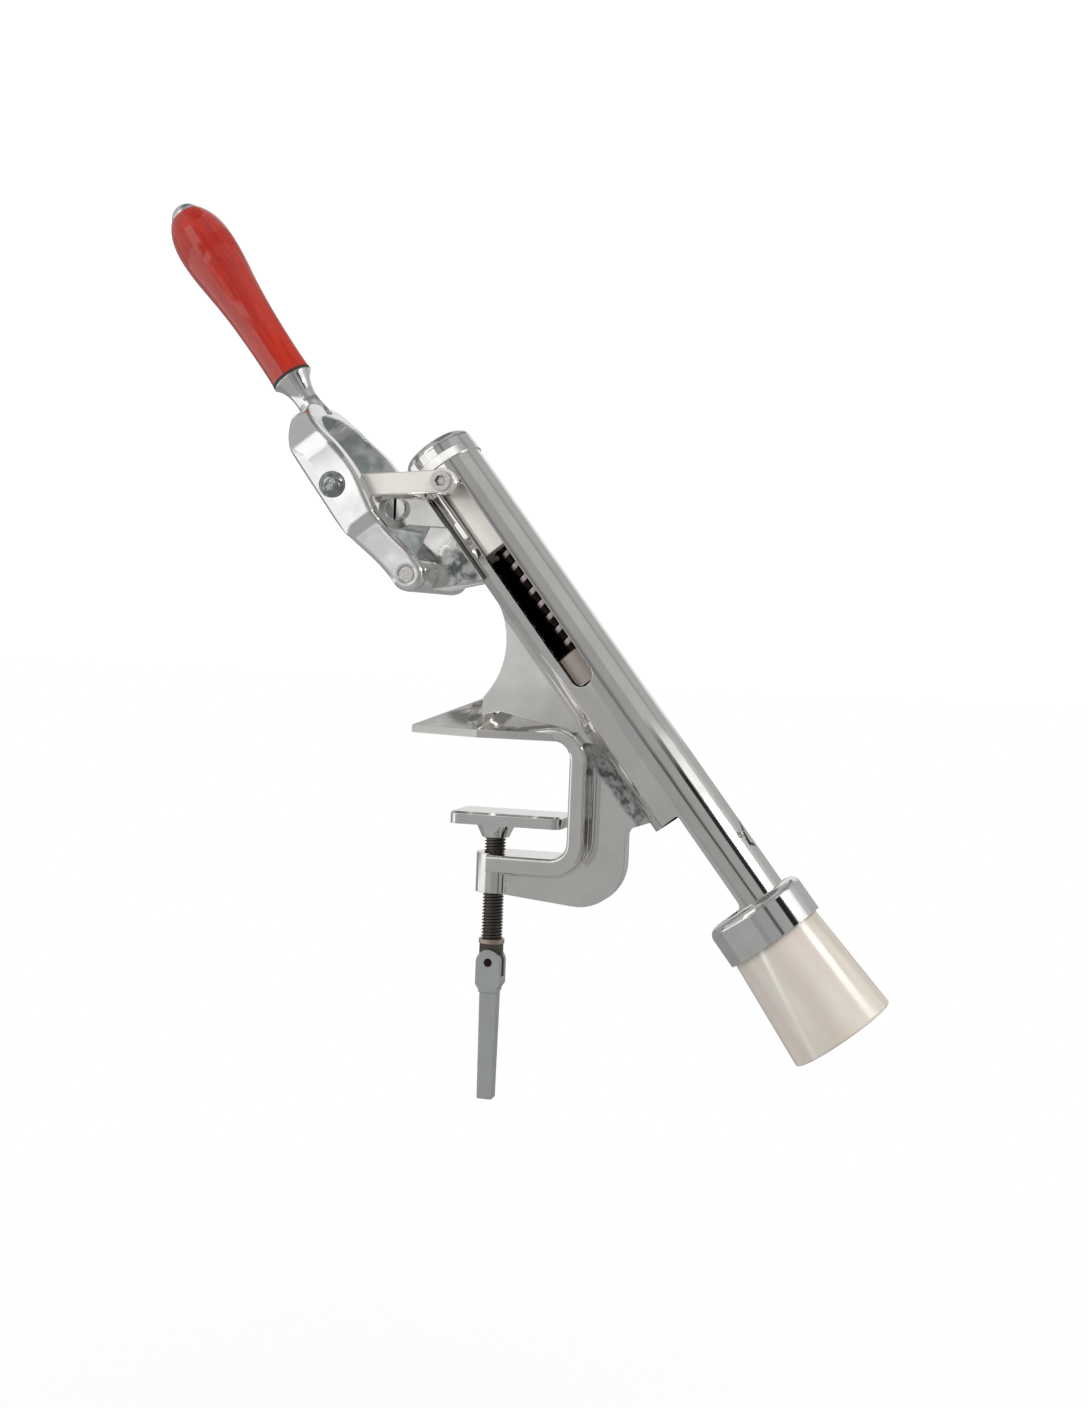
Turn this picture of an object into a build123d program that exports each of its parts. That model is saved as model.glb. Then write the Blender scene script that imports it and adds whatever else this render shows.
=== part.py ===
from build123d import *
import math
import os

# Bar-mounted corkscrew: a clamp on the bar's edge carries a sloping barrel, and one pull of
# the lever drives a spindle down the barrel into the cork and draws it out again.
# Lengths are millimetres and angles degrees. The origin is the middle of the jaw's flat
# underside, +X points to the bottle end, +Z is up, and the machine is symmetric about Y = 0.
# Places along the barrel count down it from the point of its axis that is nearest the origin.

# Barrel
barrel_slope = 52.0
barrel_rise = 49.6
barrel_r = 17.3
bore_r = 14.0
barrel_up = 121.0
tube_down = 76.0
trough_down = 127.0
trough_edge_drop = 1.5
trough_start_round = 1.5
trough_end_round = 4.0
oil_hole_down = 99.0
oil_hole_r = 1.6
oil_hole_turn = 27.6
barrel_end_len = 6.0
slot_w = 11.4
slot_drop = 1.2
slot_play = 2.0
overrun = 1.0

# Barrel cap
cap_lip = 0.7
cap_band = 4.5
cap_h = 13.0
cap_round = 4.5
cap_band_step = 0.2
cap_spigot_h = 3.0
cap_spigot_gap = 0.05

# Collar and bottle guide
skirt_step = 3.1
collar_h = 19.0
collar_round = 4.5
collar_wall = 3.6
guide_step = 1.6
guide_flare = 3.5
guide_down = 52.5
guide_wall = 2.8
guide_lip_round = 1.2
neck_r = 16.5
neck_seat_down = 12.0
neck_len = 16.0

# Lever pivot and linkage, from the barrel's axis and its upper end
pivot_below_end = 35.9
pivot_drop = 37.5
bolt_below_end = 9.7
stroke = 109.0
crank_len = 54.8
link_len = 50.4
pivot_boss_r = 8.0
boss_side_gap = 0.4
pin_r = 4.1
pin_play = 0.05
pin_edge = 0.6
bush_r = 6.0
bush_len = 14.0

# Lever yoke: u runs from the pivot up the handle, v from the handle towards the barrel
lever_slope = 53.2
arm_side_gap = 0.8
arm_t = 8.3
arm_step = 3.0
step_u = 29.0
step_run = 4.0
arm_end_r = 7.7
arm_w = 22.0
yoke_reach = 101.0
crotch_wall = 8.0
crotch_round = 24.0
shoulder_round = 30.0
neck_offset = 3.5
neck_waist_out = 3.5
neck_waist_r = 5.9
ferrule_out = 20.0
ferrule_r = 10.3
neck_root_r = 7.0
arm_edge = 2.2
arm_rim = 2.0
crown_r = 7.0
back_shares = ((0.30, 0.60), (0.62, 0.69), (0.85, 0.59))
front_shares = ((0.28, 0.17), (0.46, 0.29), (0.72, 0.26))
neck_joint_share = 0.42

# Grip
ring_t = 1.5
grip_len = 99.5
grip_r = 14.3
grip_shares = ((0.0, 0.71), (0.22, 0.71), (0.50, 0.82), (0.78, 1.0), (0.93, 0.86), (1.0, 0.60))
rod_r = 4.0
rod_depth = 10.0
end_cap_r = 7.4
end_cap_h = 6.5
end_cap_rim = 1.6

# Bolts between the links and the lever
link_bolt_r = 3.5
link_bolt_head_r = 6.2
link_bolt_head_h = 3.6
link_bolt_rim = 1.0

# Links
link_t = 4.8
link_w = 10.6
link_eye_r = 6.2
link_edge = 0.6
eye_play = 0.05

# Carriage and its bolts
carriage_play = 0.1
carriage_above = 5.7
carriage_below = 37.3
carriage_wall_r = 9.3
carriage_flat = 0.8
head_seat = 18.0
carriage_bolt_r = 4.0
carriage_bolt_depth = 6.0
carriage_head_r = 4.8
carriage_head_h = 1.9
socket_r = 2.6
socket_depth = 1.4
socket_sides = 6
spacer_r = 6.0
spacer_len = 6.7
slide_gap = 0.5
seat_gap = 0.1

# Spindle, nut and worm
spindle_r = 6.0
spindle_play = 0.1
spindle_head_r = 9.0
spindle_head_h = 7.4
washer_t = 1.8
spindle_end = 20.0
nut_top = 14.0
nut_bottom = 3.0
nut_flat_t = 0.8
worm_shank_r = 3.5
worm_shank_len = 10.0
worm_collar_r = 4.7
worm_collar_h = 4.5
worm_wire_r = 1.6
worm_coil_r = 3.1
worm_lead = 7.3
worm_turns = 6
worm_tip_len = 5.0
worm_tip_r = 0.35
quarter_turns_per_turn = 4

# Jaw
jaw_tip_x = 48.7
jaw_tip_half = 3.0
jaw_half = 17.0
jaw_rim = 3.6
jaw_inner_x = 32.7
jaw_ridge_half = 5.0
jaw_ridge_end = (37.0, 4.5)
jaw_ridge_end_half = 7.0
jaw_wide_x = 12.0
jaw_ridge_top_half = 1.4
jaw_shoulder_x = 4.0

# Web: its front edge is one arc through these three places
web_half = 8.0
web_foot = (-12.1, 18.5)
web_waist = (-1.9, 48.3)
web_head = (-17.9, 76.3)
web_blend = 4.0

# Clamp frame
flange_t = 8.2
flange_half = 15.0
flange_inner_round = 8.0
flange_floor = 54.7
flange_edge = 1.6
rib_half = 4.6
rib_edge = 1.4
rib_blend = 5.0
rib_barrel_blend = 6.0
rib_out_x = 58.3
rib_low = 79.5
rib_round = 22.0
rib_top = 40.0
boss_x = -5.7
boss_r = 8.6
boss_low = 73.4

# Pivot lug and upper lug
lug_half = 14.0
lug_root_above = 18.9
lug_root_below = 19.1
screw_lug_below_end = 3.5
screw_lug_drop = 28.2
screw_lug_r = 9.5
screw_lug_half = 16.0
screw_lug_root_above = 26.9
screw_lug_root_below = 10.9
lug_screw_head_r = 5.5
lug_screw_head_h = 3.4
lug_screw_r = 3.0
lug_screw_len = 22.0
screw_slot_w = 1.3
screw_slot_depth = 1.5

# Clamp screw, pad and folding handle
screw_r = 5.0
screw_play = 0.06
pad_top = 35.2
pad_t = 5.8
pad_left_x = 25.0
pad_right_x = 29.0
pad_half = 14.0
pad_corner = 4.0
pad_edge = 1.0
hub_top_r = 9.5
hub_low_r = 6.5
hub_low = 47.5
socket_roof_t = 3.0
ring_groove_low = 45.2
pad_ring_t = 1.0
pad_ring_deep = 0.9
pad_ring_out = 5.8
thread_low = 95.9
collar_ring_r = 6.1
collar_ring_t = 2.0
tongue_half_t = 2.0
tongue_half_w = 5.4
tommy_pivot = 106.8
fork_play = 0.2
cheek_t = 2.8
fork_half_w = 6.0
fork_slot_play = 1.4
fork_low = 117.0
shoulder_run = 2.6
bar_half_w = 4.3
bar_end_half_w = 3.7
bar_end_round = 0.9
bar_half_t = 2.8
tommy_low = 172.0
tommy_pin_r = 2.0

# Distance within which an edge counts as lying in a plane
touch = 0.01

# Sizes that follow from others
cap_r = barrel_r + cap_lip
skirt_r = barrel_r + skirt_step
collar_r = skirt_r + collar_wall
collar_end = trough_down + collar_h
guide_top_r = skirt_r + guide_step
guide_mouth_r = guide_top_r + guide_flare
guide_end = collar_end + guide_down
neck_seat = collar_end + neck_seat_down
pivot_up = barrel_up - pivot_below_end
bolt_up = barrel_up - bolt_below_end
screw_lug_up = barrel_up - screw_lug_below_end
spacer_in = barrel_r + slide_gap
link_in = spacer_in + spacer_len + seat_gap
link_out = link_in + link_t
fork_gap_half = link_out + arm_side_gap
pivot_boss_half = fork_gap_half - boss_side_gap
arm_out = fork_gap_half + arm_t
step_out = arm_out - arm_step
ferrule_u = yoke_reach + ferrule_out
flange_back = jaw_inner_x + flange_t
flange_low = flange_floor + flange_t
flange_bend_r = flange_inner_round + flange_t

# Directions and planes
slope = math.radians(barrel_slope)
along = Vector(math.cos(slope), 0, -math.sin(slope))
outward = Vector(math.sin(slope), 0, math.cos(slope))
foot = outward * barrel_rise
barrel_axis = Axis(foot, along)
cross_axis = Vector(0, 1, 0)


def barrel_side(y=0):
    """Plane across the machine: local x runs down the barrel, local y away from the bar."""
    return Plane(origin=foot + cross_axis * y, x_dir=along, z_dir=(0, -1, 0))


def barrel_cross(h):
    """Plane square to the barrel at h, with local x across and local y away from the bar."""
    return Plane(origin=foot + along * h, x_dir=(0, 1, 0), z_dir=along)


def on_barrel(h, n=0, y=0):
    """Point at h down the barrel, n away from its axis and y across."""
    return foot + along * h + outward * n + cross_axis * y


def level_plane(x, z):
    """Level plane through a point of the middle plane."""
    return Plane(origin=(x, 0, z), x_dir=(1, 0, 0), z_dir=(0, 0, 1))


def across_plane(point, y):
    """Plane square to Y through a point, at y, facing away from the machine's middle."""
    facing = -1 if y < 0 else 1
    return Plane(origin=(point.X, y, point.Z), x_dir=(1, 0, 0), z_dir=(0, facing, 0))


def edges_at(part, y):
    """Edges that lie wholly in the planes Y = y and Y = -y."""
    flat = [edge for edge in part.edges() if edge.bounding_box().size.Y < touch]
    return ShapeList(edge for edge in flat if abs(abs(edge.center().Y) - y) < touch)


def wall_under_barrel(outline, half, blend):
    """Upright wall with this outline, its sides curved out into the barrel's underside."""
    out = half + blend
    drop = math.sqrt((barrel_r + blend) ** 2 - out**2)
    contact = barrel_r / (barrel_r + blend)
    with BuildPart() as wall:
        with BuildSketch(barrel_cross(-barrel_up)):
            with Locations((0, -barrel_up)):
                Rectangle(2 * half, 2 * barrel_up)
            Polygon(
                (-out, -drop),
                (out, -drop),
                (contact * out, -contact * drop),
                (-contact * out, -contact * drop),
                align=None,
            )
            with Locations((-out, -drop), (out, -drop)):
                Circle(blend, mode=Mode.SUBTRACT)
        extrude(amount=casting_reach)
        extrude(outline, amount=out, both=True, mode=Mode.INTERSECT)
    return wall.part


# Linkage places at rest: pivot, carriage bolt and the bolt between link and lever
pivot = on_barrel(-pivot_up, -pivot_drop)
carriage_bolt = on_barrel(-bolt_up)
span = (carriage_bolt - pivot).length
crank_reach = (crank_len**2 - link_len**2 + span**2) / (2 * span)
to_bolt = (carriage_bolt - pivot).normalized()
away_left = Vector(-to_bolt.Z, 0, to_bolt.X)
link_bolt = pivot + to_bolt * crank_reach + away_left * math.sqrt(crank_len**2 - crank_reach**2)

handle_turn = math.radians(lever_slope)
handle_dir = Vector(-math.cos(handle_turn), 0, math.sin(handle_turn))
barrel_dir = Vector(math.sin(handle_turn), 0, math.cos(handle_turn))
lever_side = Plane(origin=pivot, x_dir=handle_dir, z_dir=(0, 1, 0))
lever_plan = Plane(origin=pivot, x_dir=handle_dir, z_dir=barrel_dir)
handle_side = Plane(origin=pivot - barrel_dir * neck_offset, x_dir=handle_dir, z_dir=(0, 1, 0))
handle_axis = Axis(handle_side.origin, handle_dir)
sides = (-1, 1)
slot_up = bolt_up + carriage_bolt_r + slot_play
slot_down = stroke - bolt_up + carriage_bolt_r + slot_play

# Barrel, cut open towards the bar along the trough
casting_reach = barrel_up + trough_down + barrel_end_len
with BuildPart() as barrel:
    with BuildSketch(barrel_cross(-barrel_up)):
        Circle(barrel_r)
    extrude(amount=casting_reach)
    with BuildSketch(barrel_side()):
        with BuildLine():
            trough_edge = FilletPolyline(
                (tube_down, -barrel_r - overrun),
                (tube_down, -trough_edge_drop),
                (trough_down, -trough_edge_drop),
                (trough_down, -barrel_r - overrun),
                radius=(trough_start_round, trough_end_round),
            )
            Line(trough_edge @ 0, trough_edge @ 1)
        make_face()
    extrude(amount=barrel_r + overrun, both=True, mode=Mode.SUBTRACT)
    oil_turn = math.radians(oil_hole_turn)
    oil_dir = outward * math.cos(oil_turn) - cross_axis * math.sin(oil_turn)
    with BuildSketch(Plane(origin=on_barrel(oil_hole_down), z_dir=oil_dir)):
        Circle(oil_hole_r)
    extrude(amount=barrel_r + overrun, mode=Mode.SUBTRACT)

# Web between the jaw and the barrel, its front edge one arc
with BuildSketch(Plane.XZ) as web_outline:
    with BuildLine():
        front = ThreePointArc(web_foot, web_waist, web_head)
        axis_high = on_barrel(-pivot_up)
        axis_low = on_barrel(tube_down - 2 * barrel_r)
        Polyline(
            front @ 1,
            (axis_high.X, axis_high.Z),
            (axis_low.X, axis_low.Z),
            (jaw_inner_x, 0),
            (web_foot[0], 0),
            front @ 0,
        )
    make_face()
web = wall_under_barrel(web_outline.sketch, web_half, web_blend)

# Rib behind the flange, up to the underside of the barrel
rib_end = on_barrel(tube_down - rib_half, (bore_r - barrel_r) / 2 - bore_r)
rib_head = on_barrel(0, -bore_r)
flange_mid_x = jaw_inner_x + flange_t / 2
with BuildSketch(Plane.XZ) as rib_outline:
    with BuildLine():
        FilletPolyline(
            (rib_end.X, rib_end.Z),
            (rib_out_x, -rib_top),
            (rib_out_x, -rib_low),
            (boss_x, -boss_low),
            radius=(flange_inner_round / 2, rib_round),
        )
        Polyline(
            (boss_x, -boss_low),
            (boss_x, -flange_floor - flange_t / 2),
            (jaw_inner_x - flange_inner_round, -flange_floor - flange_t / 2),
            (flange_mid_x, -flange_floor + flange_inner_round),
            (flange_mid_x, -flange_bend_r),
            (jaw_inner_x, 0),
            (rib_head.X, rib_head.Z),
            (rib_end.X, rib_end.Z),
        )
    make_face()
rib = wall_under_barrel(rib_outline.sketch, rib_half, rib_barrel_blend)

# Body casting
with BuildPart() as body_casting:
    # Flange of the clamp frame, bent round the clamp gap, with the rib behind it
    with BuildSketch(Plane.XZ):
        with BuildLine():
            inner = FilletPolyline(
                (jaw_shoulder_x, 0),
                (jaw_inner_x, 0),
                (jaw_inner_x, -flange_floor),
                (boss_x, -flange_floor),
                radius=flange_inner_round,
            )
            outer = FilletPolyline(
                (jaw_shoulder_x, jaw_rim),
                (flange_back, flange_t),
                (flange_back, -flange_low),
                (boss_x, -flange_low),
                radius=flange_bend_r,
            )
            Line(inner @ 0, outer @ 0)
            Line(inner @ 1, outer @ 1)
        make_face()
    extrude(amount=flange_half, both=True)
    fillet(body_casting.faces().filter_by(Axis.Y).edges().filter_by(Axis.Z, reverse=True), flange_edge)
    extrude(rib_outline.sketch, amount=rib_half, both=True)
    rib_ends = edges_at(body_casting, rib_half).filter_by_position(Axis.X, boss_x + touch, rib_out_x)
    fillet([edge for edge in rib_ends if edge.center().Z < -rib_low + rib_round / 2], rib_edge)
    rib_root = edges_at(body_casting, rib_half).filter_by_position(Axis.X, boss_x + touch, flange_back)
    fillet([edge for edge in rib_root if -flange_low < edge.center().Z < -flange_bend_r], rib_blend)
    add([rib, web, barrel.part])
    # Jaw: a spade-shaped plate whose top rises to a ridge under the web
    jaw_back_x = jaw_inner_x - flange_inner_round
    jaw_outline = (
        (-jaw_tip_x, -jaw_tip_half),
        (-jaw_wide_x, -jaw_half),
        (jaw_back_x, -flange_half),
        (jaw_back_x, flange_half),
        (-jaw_wide_x, jaw_half),
        (-jaw_tip_x, jaw_tip_half),
    )
    with BuildSketch(level_plane(0, 0)):
        Polygon(*jaw_outline, align=None)
    extrude(amount=jaw_rim)
    ridge_top = Vector(web_foot[0], 0, web_foot[1])
    ridge_fall = Vector(jaw_ridge_end[0], 0, jaw_ridge_end[1]) - ridge_top
    ridge_up = Vector(-ridge_fall.Z, 0, ridge_fall.X)
    with BuildSketch(level_plane(0, jaw_rim)):
        Polygon(*jaw_outline, align=None)
    with BuildSketch(Plane(origin=ridge_top, x_dir=ridge_fall, z_dir=ridge_up)):
        Polygon(
            (0, -jaw_ridge_top_half),
            (-web_foot[0], -jaw_ridge_half),
            (ridge_fall.length, -jaw_ridge_end_half),
            (ridge_fall.length, jaw_ridge_end_half),
            (-web_foot[0], jaw_ridge_half),
            (0, jaw_ridge_top_half),
            align=None,
        )
    loft(ruled=True)
    # Boss for the clamp screw
    with BuildSketch(level_plane(boss_x, -boss_low)):
        Circle(boss_r)
    extrude(amount=boss_low - flange_floor)
    # Pivot boss on its lug
    with BuildSketch(barrel_side()):
        with BuildLine():
            Polyline(
                (-pivot_up - pivot_boss_r, -pivot_drop),
                (-pivot_up - lug_root_above, -bore_r),
                (-pivot_up + lug_root_below, -bore_r),
                (-pivot_up + pivot_boss_r, -pivot_drop),
                close=True,
            )
        make_face()
        with Locations((-pivot_up, -pivot_drop)):
            Circle(pivot_boss_r)
    extrude(amount=lug_half, both=True)
    with BuildSketch(barrel_side()):
        with Locations((-pivot_up, -pivot_drop)):
            Circle(pivot_boss_r)
    extrude(amount=pivot_boss_half, both=True)
    # Upper lug for the slotted screw
    with BuildSketch(barrel_side()):
        with BuildLine():
            Polyline(
                (-screw_lug_up - screw_lug_r, -screw_lug_drop),
                (-pivot_up - screw_lug_root_above, -bore_r),
                (-pivot_up - screw_lug_root_below, -bore_r),
                (-screw_lug_up + screw_lug_r, -screw_lug_drop),
                close=True,
            )
        make_face()
        with Locations((-screw_lug_up, -screw_lug_drop)):
            Circle(screw_lug_r)
    extrude(amount=screw_lug_half, both=True)
    # Bore, side slots, pivot bore, screw hole and the hole of the slotted screw
    with BuildSketch(barrel_cross(-barrel_up - overrun)):
        Circle(bore_r)
    extrude(amount=casting_reach + 2 * overrun, mode=Mode.SUBTRACT)
    with BuildSketch(barrel_side()):
        with Locations(((slot_down - slot_up) / 2, -slot_drop)):
            SlotOverall(slot_up + slot_down, slot_w)
    extrude(amount=barrel_r + overrun, both=True, mode=Mode.SUBTRACT)
    with BuildSketch(across_plane(pivot, 0)):
        Circle(pin_r + pin_play)
    extrude(amount=pivot_boss_half + overrun, both=True, mode=Mode.SUBTRACT)
    for side in sides:
        with BuildSketch(across_plane(pivot, side * pivot_boss_half)):
            Circle(bush_r)
        extrude(amount=-bush_len, mode=Mode.SUBTRACT)
    with BuildSketch(level_plane(boss_x, -boss_low - overrun)):
        Circle(screw_r + screw_play)
    extrude(amount=boss_low - flange_floor + 2 * overrun, mode=Mode.SUBTRACT)
    screw_lug = on_barrel(-screw_lug_up, -screw_lug_drop)
    with BuildSketch(across_plane(screw_lug, -screw_lug_half)):
        Circle(lug_screw_r)
    extrude(amount=-lug_screw_len, mode=Mode.SUBTRACT)
body_casting.part.label = "body_casting"
export_step(body_casting.part, "parts/body_casting.step")

# Barrel cap: a banded, domed plug
with BuildPart() as barrel_cap:
    with BuildSketch(barrel_side()):
        with BuildLine():
            Polyline(
                (-barrel_up - cap_h, 0),
                (-barrel_up + cap_spigot_h, 0),
                (-barrel_up + cap_spigot_h, bore_r - cap_spigot_gap),
                (-barrel_up, bore_r - cap_spigot_gap),
                (-barrel_up, cap_r),
                (-barrel_up - cap_band, cap_r),
                (-barrel_up - cap_band, cap_r - cap_band_step),
                (-barrel_up - cap_h, cap_r - cap_band_step),
                close=True,
            )
        make_face()
    revolve(axis=barrel_axis)
    fillet(barrel_cap.edges().filter_by(GeomType.CIRCLE).sort_by(barrel_axis)[0], cap_round)
barrel_cap.part.label = "barrel_cap"
export_step(barrel_cap.part, "parts/barrel_cap.step")

# Bell collar: screwed on the barrel's end, with a skirt that holds the bottle guide
with BuildPart() as bell_collar:
    with BuildSketch(barrel_side()):
        with BuildLine():
            Polyline(
                (trough_down, collar_r - collar_round),
                (trough_down, barrel_r),
                (trough_down + barrel_end_len, barrel_r),
                (trough_down + barrel_end_len, skirt_r),
                (collar_end, skirt_r),
                (collar_end, collar_r),
                (trough_down + collar_round, collar_r),
            )
            RadiusArc(
                (trough_down + collar_round, collar_r),
                (trough_down, collar_r - collar_round),
                -collar_round,
            )
        make_face()
    revolve(axis=barrel_axis)
bell_collar.part.label = "bell_collar"
export_step(bell_collar.part, "parts/bell_collar.step")

# Bottle guide: a flared bell with a throat, a seat for the bottle's lip and a wide mouth
with BuildPart() as bottle_guide:
    with BuildSketch(barrel_side()):
        with BuildLine():
            Polyline(
                (trough_down + barrel_end_len, bore_r),
                (trough_down + barrel_end_len, skirt_r),
                (collar_end, skirt_r),
                (collar_end, guide_top_r),
                (guide_end, guide_mouth_r),
                (guide_end, guide_mouth_r - guide_wall),
                (neck_seat + neck_len, neck_r),
                (neck_seat, neck_r),
                (neck_seat, bore_r),
                close=True,
            )
        make_face()
    revolve(axis=barrel_axis)
    fillet(bottle_guide.edges().filter_by(GeomType.CIRCLE).sort_by(barrel_axis)[-2:], guide_lip_round)
bottle_guide.part.label = "bottle_guide"
export_step(bottle_guide.part, "parts/bottle_guide.step")

# Slotted screw of the upper lug
with BuildPart() as lug_screw:
    with BuildSketch(across_plane(screw_lug, -screw_lug_half)):
        Circle(lug_screw_head_r)
    extrude(amount=lug_screw_head_h)
    chamfer(lug_screw.edges().sort_by(Axis.Y)[0], screw_slot_w / 2)
    with BuildSketch(across_plane(screw_lug, -screw_lug_half)):
        Circle(lug_screw_r)
    extrude(amount=-lug_screw_len)
    with BuildSketch(across_plane(screw_lug, -screw_lug_half - lug_screw_head_h)):
        Rectangle(screw_slot_w, 2 * lug_screw_head_r + overrun)
    extrude(amount=-screw_slot_depth, mode=Mode.SUBTRACT)
lug_screw.part.label = "lug_screw"
export_step(lug_screw.part, "parts/lug_screw.step")

# Pivot bushes, one in each end of the boss
with BuildPart() as pivot_bushes:
    for side in sides:
        with BuildSketch(across_plane(pivot, side * pivot_boss_half)):
            Circle(bush_r)
            Circle(pin_r + pin_play, mode=Mode.SUBTRACT)
        extrude(amount=-bush_len)
pivot_bushes.part.label = "pivot_bushes"
export_step(pivot_bushes.part, "parts/pivot_bushes.step")

# Lever yoke: the side outline crossed with the fork's plan, then the flared neck
crotch_reach = yoke_reach - crotch_wall
with BuildPart() as lever_yoke:
    with BuildSketch(lever_side):
        with BuildLine():
            back = Spline(
                (0, -arm_end_r),
                *[(u * yoke_reach, -v * arm_w) for u, v in back_shares],
                (yoke_reach, -neck_joint_share * arm_w),
                tangents=((1, 0), (1, 0)),
            )
            front = Spline(
                (0, arm_end_r),
                *[(u * yoke_reach, v * arm_w) for u, v in front_shares],
                (yoke_reach, neck_waist_r - neck_offset),
                tangents=((1, 0), (1, 0)),
            )
            Line(back @ 0, front @ 0)
            Line(back @ 1, front @ 1)
        make_face()
        Circle(arm_end_r)
    extrude(amount=arm_out, both=True)
    with BuildSketch(lever_plan):
        with BuildLine():
            half = FilletPolyline(
                (-arm_w, 0),
                (-arm_w, step_out),
                (step_u, step_out),
                (step_u + step_run, arm_out),
                (yoke_reach, arm_out),
                (yoke_reach, 0),
                radius=(arm_edge, arm_edge, arm_edge, shoulder_round),
            )
            mirror(half, about=Plane.XZ)
        make_face()
        with BuildLine(mode=Mode.PRIVATE) as gap_line:
            gap_half = FilletPolyline(
                (-arm_w - overrun, 0),
                (-arm_w - overrun, fork_gap_half),
                (crotch_reach, fork_gap_half),
                (crotch_reach, 0),
                radius=(arm_edge, crotch_round),
            )
            mirror(gap_half, about=Plane.XZ)
        make_face(gap_line.edges(), mode=Mode.SUBTRACT)
    extrude(amount=2 * arm_w, both=True, mode=Mode.INTERSECT)
    fillet(edges_at(lever_yoke, arm_out).filter_by(GeomType.BSPLINE), arm_rim)
    back_reach = arm_w * max(v for u, v in back_shares)
    with BuildSketch(Plane(origin=pivot - handle_dir * arm_w, x_dir=cross_axis, z_dir=handle_dir)) as crown:
        with Locations((0, (back_reach - arm_w) / 2)):
            Rectangle(2 * arm_out, back_reach + arm_w)
        fillet(crown.vertices().group_by(Axis.Y)[-1], crown_r)
    extrude(amount=yoke_reach + arm_w, mode=Mode.INTERSECT)
    with BuildSketch(handle_side):
        with BuildLine():
            flare = Spline(
                (crotch_reach + neck_waist_r / 2, neck_root_r),
                (yoke_reach + neck_waist_out, neck_waist_r),
                (ferrule_u, ferrule_r),
                tangents=((1, 0), (1, 1)),
            )
            Polyline(flare @ 1, (ferrule_u, 0), (crotch_reach + neck_waist_r / 2, 0), flare @ 0)
        make_face()
    revolve(axis=handle_axis)
    with BuildSketch(lever_side):
        Circle(pin_r)
        link_place = lever_side.to_local_coords(link_bolt)
        with Locations((link_place.X, link_place.Y)):
            Circle(link_bolt_r)
    extrude(amount=arm_out + overrun, both=True, mode=Mode.SUBTRACT)
    rod_root = Plane(origin=handle_side.origin + handle_dir * ferrule_u, z_dir=handle_dir)
    with BuildSketch(rod_root):
        Circle(rod_r)
    extrude(amount=-rod_depth, mode=Mode.SUBTRACT)
lever_yoke.part.label = "lever_yoke"
export_step(lever_yoke.part, "parts/lever_yoke.step")

# Grip ring, grip, rod and end cap, all round the handle's axis
grip_root = ferrule_u + ring_t
grip_end = grip_root + grip_len
with BuildPart() as grip_ring:
    with BuildSketch(rod_root):
        Circle(ferrule_r)
        Circle(rod_r, mode=Mode.SUBTRACT)
    extrude(amount=ring_t)
grip_ring.part.label = "grip_ring"
export_step(grip_ring.part, "parts/grip_ring.step")

with BuildPart() as handle_grip:
    with BuildSketch(handle_side):
        with BuildLine():
            outline = Spline(*[(grip_root + t * grip_len, r * grip_r) for t, r in grip_shares])
            Polyline(outline @ 1, (grip_end, rod_r), (grip_root, rod_r), outline @ 0)
        make_face()
    revolve(axis=handle_axis)
handle_grip.part.label = "handle_grip"
export_step(handle_grip.part, "parts/handle_grip.step")

with BuildPart() as handle_rod:
    with BuildSketch(rod_root.offset(-rod_depth)):
        Circle(rod_r)
    extrude(amount=rod_depth + ring_t + grip_len)
handle_rod.part.label = "handle_rod"
export_step(handle_rod.part, "parts/handle_rod.step")

dome_h = end_cap_h - end_cap_rim
dome_r = (end_cap_r**2 + dome_h**2) / (2 * dome_h)
with BuildPart() as handle_end_cap:
    with BuildSketch(handle_side):
        with BuildLine():
            Polyline(
                (grip_end + end_cap_h, 0),
                (grip_end, 0),
                (grip_end, end_cap_r),
                (grip_end + end_cap_rim, end_cap_r),
            )
            RadiusArc((grip_end + end_cap_rim, end_cap_r), (grip_end + end_cap_h, 0), dome_r)
        make_face()
    revolve(axis=handle_axis)
handle_end_cap.part.label = "handle_end_cap"
export_step(handle_end_cap.part, "parts/handle_end_cap.step")

# Pivot pin across the fork
with BuildPart() as pivot_pin:
    with BuildSketch(across_plane(pivot, 0)):
        Circle(pin_r)
    extrude(amount=step_out, both=True)
    chamfer(pivot_pin.edges().filter_by(GeomType.CIRCLE), pin_edge)
pivot_pin.part.label = "pivot_pin"
export_step(pivot_pin.part, "parts/pivot_pin.step")

# Domed bolts that carry the links on the arms
with BuildPart() as link_bolts:
    for side in sides:
        with BuildSketch(across_plane(link_bolt, side * fork_gap_half)):
            Circle(link_bolt_r)
        extrude(amount=arm_t)
        with BuildSketch(across_plane(link_bolt, side * arm_out)):
            Circle(link_bolt_head_r)
        extrude(amount=link_bolt_rim)
        with BuildSketch(across_plane(link_bolt, side * (arm_out + link_bolt_rim))):
            Circle(link_bolt_head_r)
        with BuildSketch(across_plane(link_bolt, side * (arm_out + link_bolt_head_h))):
            Circle(link_bolt_head_r / 2)
        loft()
link_bolts.part.label = "link_bolts"
export_step(link_bolts.part, "parts/link_bolts.step")


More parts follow.
